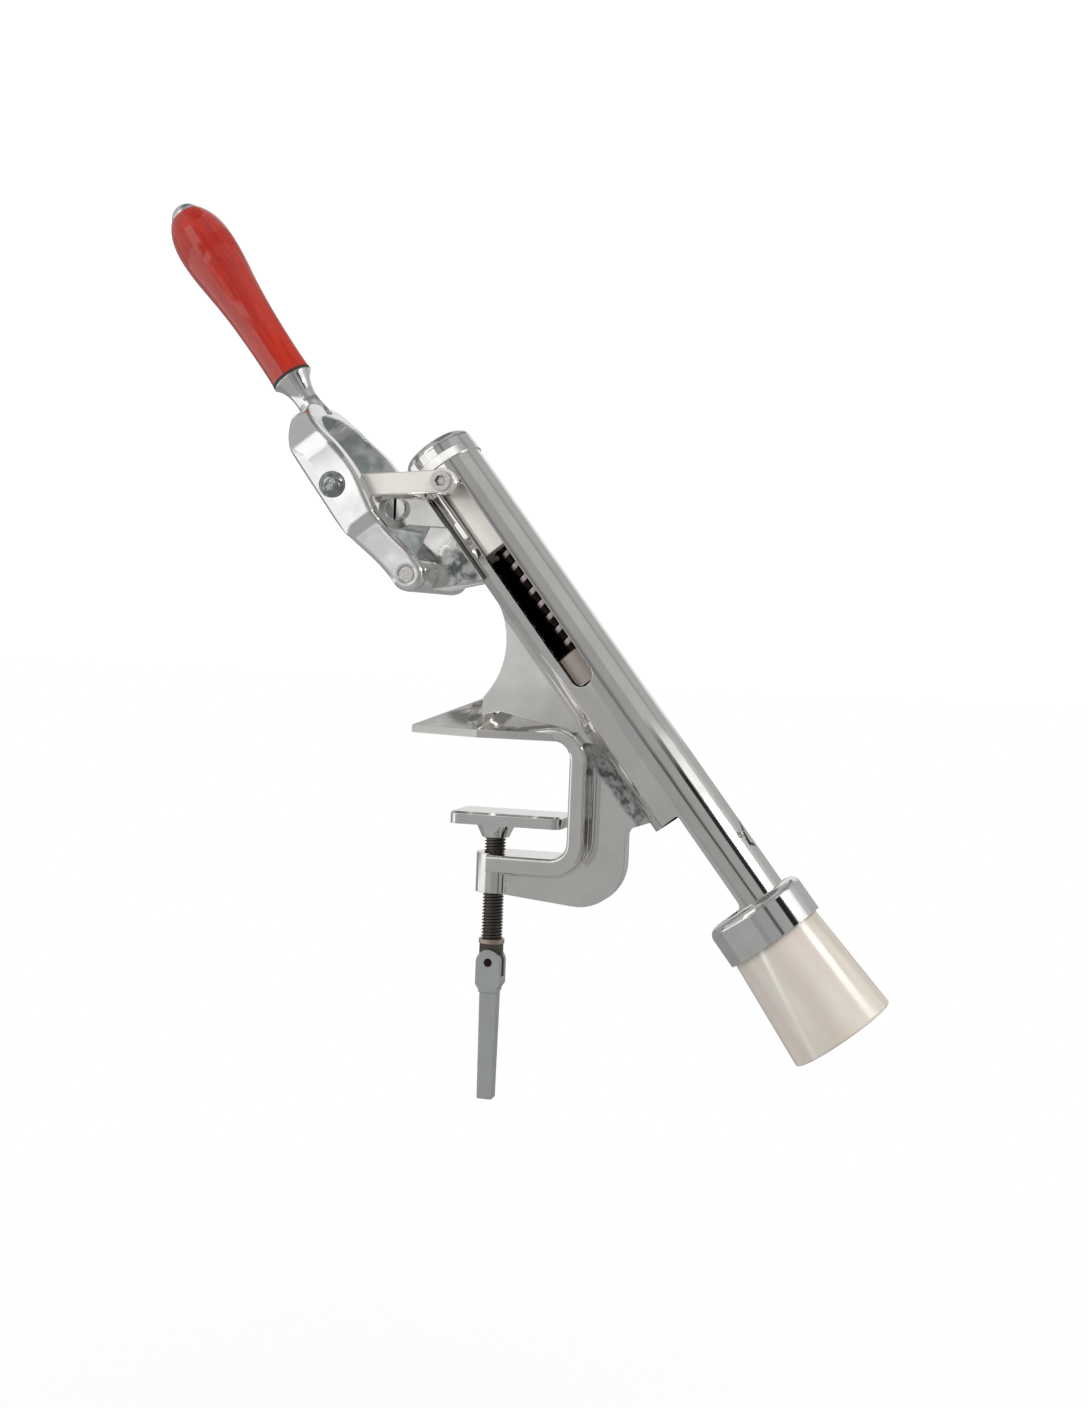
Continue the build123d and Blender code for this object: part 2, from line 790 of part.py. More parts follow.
def link_bar(side):
    """Flat bar with an eye at each end, on one side of the barrel."""
    bar_dir = (link_bolt - carriage_bolt).normalized()
    bar_plane = Plane(
        origin=carriage_bolt + cross_axis * side * link_in, x_dir=bar_dir, z_dir=(0, side, 0)
    )
    with BuildPart() as bar:
        with BuildSketch(bar_plane):
            with Locations((link_len / 2, 0)):
                Rectangle(link_len, link_w)
            Circle(link_eye_r)
            with Locations((link_len, 0)):
                Circle(link_eye_r)
            Circle(carriage_bolt_r + eye_play, mode=Mode.SUBTRACT)
            with Locations((link_len, 0)):
                Circle(link_bolt_r + eye_play, mode=Mode.SUBTRACT)
        extrude(amount=link_t)
        outer_face = bar.faces().sort_by(Axis.Y)[-1 if side > 0 else 0]
        chamfer(outer_face.outer_wire().edges(), link_edge)
    return bar


near_link = link_bar(-1)
near_link.part.label = "near_link"
export_step(near_link.part, "parts/near_link.step")

far_link = link_bar(1)
far_link.part.label = "far_link"
export_step(far_link.part, "parts/far_link.step")

# Carriage: the slider, bored from above for the spindle's head and its plug
carriage_r = bore_r - carriage_play
carriage_top = bolt_up + carriage_above
carriage_low = bolt_up - carriage_below
seat_h = -bolt_up + head_seat
with BuildPart() as carriage:
    with BuildSketch(barrel_cross(-carriage_top)):
        Circle(carriage_r)
        Circle(carriage_wall_r, mode=Mode.SUBTRACT)
    extrude(amount=carriage_top + seat_h)
    with BuildSketch(barrel_cross(seat_h)):
        Circle(carriage_r)
        Circle(spindle_r + spindle_play, mode=Mode.SUBTRACT)
    extrude(amount=-carriage_low - seat_h)
    with BuildSketch(across_plane(carriage_bolt, 0)):
        Circle(carriage_bolt_r)
    extrude(amount=carriage_r + overrun, both=True, mode=Mode.SUBTRACT)
    with BuildSketch(barrel_side()):
        with Locations((-(carriage_top + carriage_low) / 2, 0)):
            Rectangle(carriage_top - carriage_low, 2 * carriage_r)
    extrude(amount=carriage_r - carriage_flat, both=True, mode=Mode.INTERSECT)
carriage.part.label = "carriage"
export_step(carriage.part, "parts/carriage.step")

head_top_h = seat_h - washer_t - seat_gap - spindle_head_h
with BuildPart() as carriage_plug:
    with BuildSketch(barrel_cross(-carriage_top)):
        Circle(carriage_wall_r)
    extrude(amount=carriage_top + head_top_h - seat_gap)
    for side in sides:
        with BuildSketch(across_plane(carriage_bolt, side * carriage_bolt_depth)):
            Circle(carriage_bolt_r)
        extrude(amount=carriage_wall_r, mode=Mode.SUBTRACT)
carriage_plug.part.label = "carriage_plug"
export_step(carriage_plug.part, "parts/carriage_plug.step")

with BuildPart() as thrust_washer:
    with BuildSketch(barrel_cross(seat_h - washer_t)):
        Circle(carriage_wall_r)
        Circle(spindle_r + spindle_play, mode=Mode.SUBTRACT)
    extrude(amount=washer_t)
thrust_washer.part.label = "thrust_washer"
export_step(thrust_washer.part, "parts/thrust_washer.step")

# Carriage bolts with socket ends, and the spacers that run beside the slots
with BuildPart() as carriage_bolts:
    for side in sides:
        with BuildSketch(across_plane(carriage_bolt, side * carriage_bolt_depth)):
            Circle(carriage_bolt_r)
        extrude(amount=link_out + seat_gap - carriage_bolt_depth)
        with BuildSketch(across_plane(carriage_bolt, side * (link_out + seat_gap))):
            Circle(carriage_head_r)
        extrude(amount=carriage_head_h)
        with BuildSketch(across_plane(carriage_bolt, side * (link_out + seat_gap + carriage_head_h))):
            RegularPolygon(socket_r, socket_sides)
        extrude(amount=-socket_depth, mode=Mode.SUBTRACT)
carriage_bolts.part.label = "carriage_bolts"
export_step(carriage_bolts.part, "parts/carriage_bolts.step")

with BuildPart() as bolt_spacers:
    for side in sides:
        with BuildSketch(across_plane(carriage_bolt, side * spacer_in)):
            Circle(spacer_r)
            Circle(carriage_bolt_r, mode=Mode.SUBTRACT)
        extrude(amount=link_in - seat_gap - spacer_in)
bolt_spacers.part.label = "bolt_spacers"
export_step(bolt_spacers.part, "parts/bolt_spacers.step")

# Spindle: head in the carriage, steep-threaded bar, socket for the worm
with BuildPart() as spindle:
    with BuildSketch(barrel_cross(head_top_h)):
        Circle(spindle_head_r)
    extrude(amount=spindle_head_h)
    with BuildSketch(barrel_cross(head_top_h)):
        Circle(spindle_r)
    extrude(amount=spindle_end - head_top_h)
    with BuildSketch(barrel_cross(spindle_end)):
        Circle(worm_shank_r)
    extrude(amount=-worm_shank_len, mode=Mode.SUBTRACT)
spindle.part.label = "spindle"
export_step(spindle.part, "parts/spindle.step")

# Floating nut
with BuildPart() as spindle_nut:
    with BuildSketch(barrel_cross(-nut_top)):
        Circle(bore_r - carriage_play)
        Circle(spindle_r + spindle_play, mode=Mode.SUBTRACT)
    extrude(amount=nut_top + nut_bottom)
    chamfer(spindle_nut.edges().filter_by(GeomType.CIRCLE).group_by(SortBy.RADIUS)[-1], nut_flat_t)
spindle_nut.part.label = "spindle_nut"
export_step(spindle_nut.part, "parts/spindle_nut.step")

# Worm: a wire helix of tangent arcs under a short shank, ground to a point
coil_start = spindle_end + worm_collar_h - worm_wire_r
turn_rise = worm_lead / (2 * math.pi)


def helix_point(turn):
    """Point of the wire's centre line after so many radians."""
    across = cross_axis * math.cos(turn) + outward * math.sin(turn)
    return on_barrel(coil_start + turn_rise * turn) + across * worm_coil_r


def helix_tangent(turn):
    """Unit direction of the wire's centre line after so many radians."""
    across = outward * math.cos(turn) - cross_axis * math.sin(turn)
    return (across * worm_coil_r + along * turn_rise).normalized()


def arc_joint(start, start_dir, end, end_dir):
    """Meeting point and direction of the two arcs that join two tangents alike."""
    chord = end - start
    both = chord.dot(start_dir + end_dir)
    spread = 2 * (1 - start_dir.dot(end_dir))
    reach = (math.sqrt(both**2 + spread * chord.dot(chord)) - both) / spread
    joint = (start + end + (start_dir - end_dir) * reach) / 2
    return joint, (chord - (start_dir + end_dir) * reach).normalized()


with BuildPart() as worm:
    with BuildLine() as wire_path:
        steps = worm_turns * quarter_turns_per_turn
        for step in range(steps):
            low = step * 2 * math.pi / quarter_turns_per_turn
            high = low + 2 * math.pi / quarter_turns_per_turn
            joint, joint_dir = arc_joint(
                helix_point(low), helix_tangent(low), helix_point(high), helix_tangent(high)
            )
            TangentArc(helix_point(low), joint, tangent=helix_tangent(low))
            TangentArc(joint, helix_point(high), tangent=joint_dir)
    with BuildSketch(Plane(origin=helix_point(0), z_dir=helix_tangent(0))):
        Circle(worm_wire_r)
    sweep()
    tip = helix_point(steps * 2 * math.pi / quarter_turns_per_turn)
    tip_dir = helix_tangent(steps * 2 * math.pi / quarter_turns_per_turn)
    with BuildSketch(Plane(origin=tip, z_dir=tip_dir)):
        Circle(worm_wire_r)
    with BuildSketch(Plane(origin=tip + tip_dir * worm_tip_len, z_dir=tip_dir)):
        Circle(worm_tip_r)
    loft()
    with BuildSketch(barrel_cross(spindle_end - worm_shank_len)):
        Circle(worm_shank_r)
    extrude(amount=worm_shank_len)
    with BuildSketch(barrel_cross(spindle_end)):
        Circle(worm_collar_r)
    extrude(amount=worm_collar_h)
worm.part.label = "worm"
export_step(worm.part, "parts/worm.step")
print("worm: least gap between turns", round(worm_lead - 2 * worm_wire_r, 2), "mm")

# Clamp pad on its hub
pad_low = pad_top + pad_t
with BuildPart() as clamp_pad:
    with BuildSketch(level_plane((pad_right_x - pad_left_x) / 2, -pad_low)):
        RectangleRounded(pad_left_x + pad_right_x, 2 * pad_half, pad_corner)
    extrude(amount=pad_t)
    chamfer(clamp_pad.edges().group_by(Axis.Z)[-1], pad_edge)
    with BuildSketch(level_plane(boss_x, -hub_low)):
        Circle(hub_low_r)
    with BuildSketch(level_plane(boss_x, -pad_low)):
        Circle(hub_top_r)
    loft()
    with BuildSketch(level_plane(boss_x, -hub_low - overrun)):
        Circle(screw_r + screw_play)
    extrude(amount=hub_low - pad_top - socket_roof_t + overrun, mode=Mode.SUBTRACT)
    with BuildSketch(level_plane(boss_x, -ring_groove_low)):
        Circle(pad_ring_out)
    extrude(amount=pad_ring_t, mode=Mode.SUBTRACT)
clamp_pad.part.label = "clamp_pad"
export_step(clamp_pad.part, "parts/clamp_pad.step")

with BuildPart() as pad_ring:
    with BuildSketch(level_plane(boss_x, -ring_groove_low)):
        Circle(pad_ring_out)
        Circle(screw_r - pad_ring_deep + screw_play, mode=Mode.SUBTRACT)
    extrude(amount=pad_ring_t)
pad_ring.part.label = "pad_ring"
export_step(pad_ring.part, "parts/pad_ring.step")

# Clamp screw with a groove for the pad's ring and a flat tongue at its low end
screw_top = pad_top + socket_roof_t + seat_gap
with BuildPart() as clamp_screw:
    with BuildSketch(level_plane(boss_x, -thread_low - collar_ring_t)):
        Circle(screw_r)
    extrude(amount=thread_low + collar_ring_t - screw_top)
    with BuildSketch(level_plane(boss_x, -ring_groove_low - seat_gap)):
        Circle(screw_r)
        Circle(screw_r - pad_ring_deep, mode=Mode.SUBTRACT)
    extrude(amount=pad_ring_t + 2 * seat_gap, mode=Mode.SUBTRACT)
    with BuildSketch(Plane.XZ):
        with Locations((boss_x, -(thread_low + collar_ring_t + tommy_pivot) / 2)):
            Rectangle(2 * tongue_half_w, tommy_pivot - thread_low - collar_ring_t)
        with Locations((boss_x, -tommy_pivot)):
            Circle(tongue_half_w)
            Circle(tommy_pin_r + eye_play, mode=Mode.SUBTRACT)
    extrude(amount=tongue_half_t, both=True)
clamp_screw.part.label = "clamp_screw"
export_step(clamp_screw.part, "parts/clamp_screw.step")

with BuildPart() as screw_collar:
    with BuildSketch(level_plane(boss_x, -thread_low - collar_ring_t)):
        Circle(collar_ring_r)
        Circle(screw_r, mode=Mode.SUBTRACT)
    extrude(amount=collar_ring_t)
screw_collar.part.label = "screw_collar"
export_step(screw_collar.part, "parts/screw_collar.step")

# Folding handle: a fork on the tongue, and a flat bar below it
fork_half_t = tongue_half_t + fork_play + cheek_t
with BuildPart() as tommy_handle:
    with BuildSketch(Plane.XZ):
        with BuildLine():
            Polyline(
                (boss_x - fork_half_w, -tommy_pivot),
                (boss_x - fork_half_w, -fork_low),
                (boss_x - bar_half_w, -fork_low - shoulder_run),
                (boss_x - bar_end_half_w, -tommy_low),
                (boss_x + bar_end_half_w, -tommy_low),
                (boss_x + bar_half_w, -fork_low - shoulder_run),
                (boss_x + fork_half_w, -fork_low),
                (boss_x + fork_half_w, -tommy_pivot),
                close=True,
            )
        make_face()
        with Locations((boss_x, -tommy_pivot)):
            Circle(fork_half_w)
            Circle(tommy_pin_r, mode=Mode.SUBTRACT)
    extrude(amount=fork_half_t, both=True)
    slot_end = tommy_pivot + tongue_half_w + fork_slot_play
    with BuildSketch(Plane.XZ):
        with Locations((boss_x, -slot_end + slot_end / 2)):
            Rectangle(2 * fork_half_w + overrun, slot_end)
    extrude(amount=tongue_half_t + fork_play, both=True, mode=Mode.SUBTRACT)
    for side in sides:
        with BuildSketch(Plane.XZ.offset(side * bar_half_t)):
            with Locations((boss_x, -(fork_low + shoulder_run + tommy_low) / 2 - shoulder_run)):
                Rectangle(2 * fork_half_w + overrun, tommy_low - fork_low)
        extrude(amount=side * fork_half_t, mode=Mode.SUBTRACT)
    fillet(tommy_handle.faces().sort_by(Axis.Z)[0].edges(), bar_end_round)
tommy_handle.part.label = "tommy_handle"
export_step(tommy_handle.part, "parts/tommy_handle.step")

with BuildPart() as tommy_pin:
    with BuildSketch(Plane.XZ):
        with Locations((boss_x, -tommy_pivot)):
            Circle(tommy_pin_r)
    extrude(amount=fork_half_t, both=True)
tommy_pin.part.label = "tommy_pin"
export_step(tommy_pin.part, "parts/tommy_pin.step")
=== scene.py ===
# %% [markdown]
# # A bar corkscrew, dressed for a studio photograph
# The packed CAD model brings every solid of the corkscrew as a fixed frame: the casting with
# its jaw and sloping barrel, the forked lever, the links, the spindle and the clamp. This
# script gives them their finishes, cuts the threads that the CAD model leaves smooth, and
# sets up a small studio. Blender works in metres, so lengths that a maker would give in
# millimetres are written as a number times mm.

# %% Load the frame
import bpy
import math
from mathutils import Matrix, Vector


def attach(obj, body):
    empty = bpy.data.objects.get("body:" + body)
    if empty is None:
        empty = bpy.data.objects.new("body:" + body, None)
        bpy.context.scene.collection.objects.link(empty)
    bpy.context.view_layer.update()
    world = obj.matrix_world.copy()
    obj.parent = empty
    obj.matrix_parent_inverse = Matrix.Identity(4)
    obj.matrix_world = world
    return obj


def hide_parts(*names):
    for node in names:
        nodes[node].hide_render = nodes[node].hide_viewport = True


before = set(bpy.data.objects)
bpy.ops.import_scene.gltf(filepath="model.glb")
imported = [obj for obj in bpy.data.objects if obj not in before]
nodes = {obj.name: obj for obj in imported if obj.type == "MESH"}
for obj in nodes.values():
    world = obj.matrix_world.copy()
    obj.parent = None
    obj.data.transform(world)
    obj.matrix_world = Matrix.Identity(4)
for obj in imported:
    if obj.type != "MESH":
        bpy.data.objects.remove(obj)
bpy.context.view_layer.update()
mm = 0.001

# %% [markdown]
# ## Camera
# The corkscrew was photographed from a little under a metre away, level with the jaw and
# about fifteen degrees to its right, so that the far arm of the fork shows behind the near
# one. A camera could be pointed with a constraint, but the photographer also held it a
# little crooked, so its three axes are built by hand from the turn, the tilt and the roll.

# %% Camera
camera_turn = math.radians(14.6)
camera_tilt = math.radians(0.3)
camera_roll = math.radians(2.2)
camera_distance = 0.8225
looked_at = Vector((0.02607, 0, 0.04705))

to_right = Vector((math.cos(camera_turn), math.sin(camera_turn), 0))
to_camera = Vector((
    math.sin(camera_turn) * math.cos(camera_tilt),
    -math.cos(camera_turn) * math.cos(camera_tilt),
    math.sin(camera_tilt),
))
axes = Matrix((to_right, to_camera.cross(to_right), to_camera)).transposed().to_4x4()
bpy.ops.object.camera_add()
camera = bpy.context.object
camera.matrix_world = (
    Matrix.Translation(looked_at + to_camera * camera_distance)
    @ axes
    @ Matrix.Rotation(camera_roll, 4, "Z")
)
camera.data.lens = 44.74
camera.data.shift_x = -0.0170
camera.data.shift_y = -0.0455
bpy.context.scene.camera = camera
bpy.context.scene.view_settings.view_transform = "Standard"
print("camera at", [round(v, 3) for v in camera.matrix_world.translation])

# %% [markdown]
# ## Shader sums
# Every finish below is a small sum of noise, masks and colours. Adding Math nodes by hand
# hides the idea, so one class wraps the output of a node: plus, minus and times add the
# Math node, and any other node comes from its `node` method, which takes the kind of node,
# its settings, and the values or wires of its sockets. A mask is a wire that rises or falls
# between two limits, and two masks multiplied leave only the place where both hold.


# %% One output of a shader node
class Wire:
    """An output socket in a material, used in sums as if it were a number."""

    def __init__(self, tree, socket=None):
        self.tree = tree
        self.socket = socket

    def node(self, kind, settings=None, sockets=None, out=0):
        """Add a node, its settings first, and give back one of its outputs."""
        made = self.tree.nodes.new("ShaderNode" + kind)
        for name, value in (settings or {}).items():
            if name == "stops":
                ramp = made.color_ramp
                while len(ramp.elements) < len(value):
                    ramp.elements.new(1.0)
                for element, (share, grey) in zip(ramp.elements, value):
                    element.position = share
                    element.color = (grey, grey, grey, 1.0)
            else:
                setattr(made, name, value)
        for name, value in (sockets or {}).items():
            if isinstance(value, Wire):
                self.tree.links.new(value.socket, made.inputs[name])
            else:
                made.inputs[name].default_value = value
        return Wire(self.tree, made.outputs[out])

    def maths(self, operation, *terms):
        """Add a Math node on these terms."""
        return self.node("Math", {"operation": operation}, dict(enumerate(terms)))

    def __add__(self, other):
        return self.maths("ADD", self, other)

    def __sub__(self, other):
        return self.maths("SUBTRACT", self, other)

    def __rsub__(self, other):
        return self.maths("SUBTRACT", other, self)

    def __mul__(self, other):
        return self.maths("MULTIPLY", self, other)

    def spread(self, low, high, to_low=0.0, to_high=1.0):
        """Map low..high to to_low..to_high and clamp outside."""
        return self.node("MapRange", None, {0: self, 1: low, 2: high, 3: to_low, 4: to_high})

    def rises(self, start, end):
        """0 up to start, and 1 from end on."""
        return self.spread(start, end)

    def falls(self, start, end):
        """1 up to start, and 0 from end on."""
        return self.spread(start, end, 1, 0)

    def size(self):
        """The value without its sign."""
        return self.maths("ABSOLUTE", self)

    def or_else(self, other):
        """The larger of two masks, so that either of them marks the place."""
        return self.maths("MAXIMUM", self, other)

    def parts(self):
        """The three wires that a place or a direction is made of."""
        split = self.node("SeparateXYZ", None, {0: self})
        return [Wire(self.tree, socket) for socket in split.socket.node.outputs]


print("a wire also has:", [name for name in vars(Wire) if not name.startswith("_")])

# %% [markdown]
# ## Patterns every finish uses
# Noise read from Object coordinates is a solid pattern: it runs through the metal and the
# wood as it would in the real thing, needs no unwrapping and stays put when a joint moves.
# A Mapping node of the Texture type first turns the space and then stretches it, so that
# the same noise serves for lazy ripples in a polished casting and for long streaks of grain
# along a sloping handle.


# %% Start a finish, noise and colours
def rgb(red, green, blue):
    """A colour with its alpha."""
    return (red, green, blue, 1.0)


def start_finish(name):
    """A new material, the wire of its Object coordinates, and its Principled shader."""
    material = bpy.data.materials.new(name)
    material.use_nodes = True
    tree = material.node_tree
    shader = tree.nodes["Principled BSDF"]
    place = Wire(tree).node("TexCoord", out=3)
    return material, place, shader


def noise(place, size, detail=2.0, longer=(1, 1, 1), turn=0.0, rough=0.5):
    """Solid noise of lumps size metres across, turned about Y, then longer along its axes."""
    lumps = place.node(
        "Mapping",
        {"vector_type": "TEXTURE"},
        {"Vector": place, "Rotation": (0, turn, 0), "Scale": [size * k for k in longer]},
    )
    return place.node(
        "TexNoise", None, {"Vector": lumps, "Scale": 1.0, "Detail": detail, "Roughness": rough}
    )


def blend_colour(share, first, second):
    """Mix of two colours, all first at share 0 and all second at 1."""
    return share.node(
        "Mix", {"data_type": "RGBA"}, {"Factor": share, 6: first, 7: second}, out=2
    )


def set_inputs(shader, values):
    """Link wires to the shader's sockets and set plain numbers on them."""
    for name, value in values.items():
        if isinstance(value, Wire):
            value.tree.links.new(value.socket, shader.inputs[name])
        else:
            shader.inputs[name].default_value = value


def bump(height, distance, edge=None):
    """Normal from a height wire whose swing is distance metres, over softened edges if any."""
    sockets = {"Height": height, "Distance": distance}
    if edge:
        sockets["Normal"] = height.node("Bevel", {"samples": 6}, {"Radius": edge})
    return height.node("Bump", None, sockets)


print("patterns: noise, blend_colour, bump")

# %% [markdown]
# ## Chrome plate
# The casting, the lever and the collar are cast metal, polished and chrome plated. A
# perfectly smooth mirror would look like a drawing, because a hand-polished casting is
# never flat: its reflections wander a little. A slow noise gives the ripples that the
# polishing belt leaves, a fine one pebbles them, a third clouds the gloss, hair-thin lines
# run along the barrel, and a Bevel node rounds the edges that the shader sees, so that each
# one catches a thin line of light. The same recipe with more roughness makes bright steel.
# Four more touches are added: painted shade in the inner corners, found by an Ambient
# Occlusion node; painted shade over a rough skin in the hollows under the barrel and between
# the lever's arms; painted shade in the bore and in the screw's slot, beside a real dark chip
# in the plating; and lighter metal, on the spindle's crests from wear kept to one side as a
# painted highlight, and low on the cap as a painted highlight.

# %% Sizes and tones of the metal's patterns
barrel_slope = math.radians(52)
handle_slope = math.radians(53.2)
ripple_size = 22 * mm
cloud_size = 12 * mm
pebble_size = 3.5 * mm
pebble_height = 0.012
dent_size = 2.2 * mm
grain_width = 0.5 * mm
skin_height_a_mm = 0.45
second_tone = 0.92
dull_corner_shade = dull_skin = 0.12
dull_mark_and_shade = 0.3
matt_skin, matt_wear_and_glint = 0.45, 0.75
# Colour of the painted shade in inner corners.
corner_shade_grey = rgb(0.07, 0.075, 0.07)
# Nearly black, for painted shade in the bore and the screw's slot, and for a real chip.
mark_and_shade_brown = rgb(0.016, 0.009, 0.008)
print("ripples", ripple_size / mm, "mm, clouds", cloud_size / mm, "mm across")


# %% Metal finishes
def metal(
    name, colour, dull, ripple=0.12 * mm, cloud=0.05, tint=None, grain=None, groove=0.08,
    edge=0.4 * mm, metallic=1.0, dents=0.0, corner_shade=0.0, reach=2.5 * mm, shade_and_skin=None,
    marks_and_shade=None, wear_and_highlight=None,
):
    """Plated or bare metal, as rough as dull, or as dull plus cloud where it is cloudy.

    ripple is how high its ripples stand, and groove and dents are heights as shares of it.
    tint is a second colour for the clouds, edge the radius that its edges seem to have, and
    grain how much longer its fine lines are along each axis. grime says how dark the painted
    shade in the inner corners gets, and reach how far out of them it spreads. greased is a
    function that marks a place as nearly black, for a real chip and for painted shade, worn is
    such a function and a lighter colour, for wear and for painted highlights, and shade_and_skin
    is such a function with the size, the colour and the contrast of a rough skin's lumps, whose
    darker colour is painted shade.
    """
    material, place, shader = start_finish(name)
    lazy = noise(place, ripple_size, 1.0)
    fine = noise(place, pebble_size, 4.0, rough=0.6)
    cloudy = noise(place, cloud_size, 3.0)
    other = tint or [c * second_tone for c in colour]
    height = lazy + fine * pebble_height
    base = blend_colour(cloudy.spread(0.35, 0.7), rgb(*colour), rgb(*other))
    gloss = cloudy.spread(0.3, 0.75, dull, dull + cloud) + fine * 0.02
    if grain:
        lines = noise(place, grain_width, 3.0, longer=grain, turn=barrel_slope)
        height = height + lines * groove
    if dents:
        height = height + noise(place, dent_size, 1.0) * dents
    # Painted shade: corners that Ambient Occlusion finds get a darker colour and a duller gloss.
    if corner_shade:
        openness = place.node(
            "AmbientOcclusion", {"samples": 8, "only_local": True}, {"Distance": reach}, out=1
        )
        corner = openness.spread(0.40, 0.80, corner_shade, 0)
        base = blend_colour(corner, base, corner_shade_grey)
        gloss = gloss + corner * dull_corner_shade
    # Painted shade over a rough skin: the marked place darkens in lumps, dulls and gets bumps.
    if shade_and_skin:
        where, lump_size, dark, contrast = shade_and_skin
        skin = where(place)
        lumps = noise(place, lump_size, 2.0, rough=0.6)
        mottle = lumps.spread(0.42, 0.60, 1 - contrast, 1.0)
        base = blend_colour(skin * mottle, base, rgb(*dark))
        height = height + lumps * skin * (lump_size / mm * skin_height_a_mm)
        gloss = gloss + skin * dull_skin
        metallic = metallic - skin * matt_skin
    # Nearly black and duller where marked: painted shade, and also a real chip.
    if marks_and_shade:
        mark_and_shade = marks_and_shade(place)
        base = blend_colour(mark_and_shade, base, mark_and_shade_brown)
        gloss = gloss + mark_and_shade * dull_mark_and_shade
    # Lighter and less metallic where marked: wear, and painted highlights.
    if wear_and_highlight:
        where, bright = wear_and_highlight
        wear_and_glint = where(place)
        base = blend_colour(wear_and_glint, base, rgb(*bright))
        metallic = metallic - wear_and_glint * matt_wear_and_glint
    set_inputs(shader, {
        "Base Color": base,
        "Metallic": metallic,
        "Roughness": gloss,
        "Normal": bump(height, ripple, edge),
    })
    return material


print("metal: one recipe for", len(nodes), "nodes")

# %% [markdown]
# ## Places on the casting, the lever and the spindle
# A mark belongs to a place on the object, so its mask is worked out from distances. One
# Mapping node moves the Object coordinates to a point, turns them along the barrel or the
# handle and counts them in millimetres. Three wires then say how far down the barrel, how
# far across and how far out of it a spot lies, and a mask rises or falls between two of
# those distances. A little noise added to a distance makes a ragged edge.

# %% Points that the distances count from
barrel_down = Vector((math.cos(barrel_slope), 0, -math.sin(barrel_slope)))
barrel_out = Vector((math.sin(barrel_slope), 0, math.cos(barrel_slope)))
barrel_foot = barrel_out * 49.6 * mm
pivot = Vector((-42.9, 0, 74.5)) * mm
lug_screw_at = Vector((-55.5, -17.7, 105.8)) * mm
hollow_at = Vector((-21.5, -8, 81)) * mm


def from_point(place, point, turn=0.0):
    """The Object coordinates seen from a point, turned about Y, as three wires in mm."""
    seen = place.node("Mapping", {"vector_type": "TEXTURE"}, {
        "Vector": place, "Location": point, "Rotation": (0, turn, 0), "Scale": (mm, mm, mm),
    })
    return seen.parts()


def along_barrel(place):
    """How far down the barrel, across it and out of it, from the foot of its axis, in mm."""
    return from_point(place, barrel_foot, barrel_slope)


def length_of(first, second):
    """Distance from two wires at right angles."""
    squares = first * first + second * second
    return squares.maths("SQRT", squares)


print("barrel's foot at", [round(v / mm, 1) for v in barrel_foot], "mm")


# %% Marks on the casting
def shade_in_bore(place):
    """Painted shade inside the closed stretch of the tube."""
    down, across, out = along_barrel(place)
    return length_of(across, out).falls(14.2, 14.6) * down.falls(76, 82)


def chip_beside_oil_hole(place):
    """A chip in the plating low on the barrel: a bowed stroke and a short hook at its end."""
    down, across, out = along_barrel(place)
    low_end, left_side, bend, slant = 104.7, -5.3, 0.0477, 0.45
    bow = low_end - down
    stroke = (across - left_side - bow * bow * bend).size().falls(0.8, 1.4)
    stroke = stroke * down.rises(92.5, 94.0) * down.falls(105.5, 106.5)
    hook = (down - 105.0 - (across - left_side) * slant).size().falls(0.7, 1.1)
    hook = hook * across.rises(-5.8, -5.3) * across.falls(-2.0, -1.4)
    flaked = noise(place, 1.8 * mm, 2.0).rises(0.34, 0.44)
    return stroke.or_else(hook) * out.rises(12, 13) * flaked


def dark_marks(place):
    """Everything on the casting that is nearly black: a real chip and the painted shade in the
    bore.
    """
    return chip_beside_oil_hole(place).or_else(shade_in_bore(place))


def shaded(place):
    """Painted shade: the hollow under the barrel's upper end and the corner under its lower end.
    """
    along, across, up = from_point(place, hollow_at)
    down, _, out = along_barrel(place)
    ragged = noise(place, 6 * mm, 2.0) * 12
    below_ledge = out.falls(-15.0, -14.3)
    far = length_of(length_of(along, up), across) + ragged
    hollow = far.falls(14.5, 21.5) * below_ledge
    depth = out + (ragged - 6) * 0.3
    corner = depth.rises(-24.0, -22.2) * depth.falls(-15.2, -14.2)
    corner = corner * down.rises(24, 36) * down.spread(55, 100, 1, 0.6)
    return hollow.or_else(corner)


print("marks on the casting: bore, chip, unpolished corners")


# %% Marks on the lever, the spindle, the cap and the screw
def inner_arms(place):
    """Painted shade: the faces of the lever's arms that look at each other."""
    back, across, _ = from_point(place, pivot, handle_slope)
    return across.size().falls(30.3, 30.7) * back.rises(-92, -88)


def crest_wear_and_highlight(place):
    """The crests of the spindle's thread, lighter from wear and kept to their upper side as a
    painted highlight.
    """
    down, across, out = along_barrel(place)
    crest = length_of(across, out).rises(5.6, 5.9) * down.falls(14, 15)
    return crest * out.rises(-1.4, 0.4)


def cap_highlight(place):
    """A painted highlight: a light band low on the cap, left off its upper side."""
    down, across, out = along_barrel(place)
    band = down.rises(-125.6, -125.3) * down.falls(-121.4, -121.1)
    return band * length_of(across, out).rises(17.3, 17.6) * out.falls(10, 13)


def shade_in_screw_slot(place):
    """Painted shade inside the slot of the lug's screw."""
    along, across, up = from_point(place, lug_screw_at)
    return length_of(along, up).falls(4.4, 4.7) * across.rises(-1.6, -1.2)


print("marks elsewhere: inner arms, thread crest, cap band, screw slot")

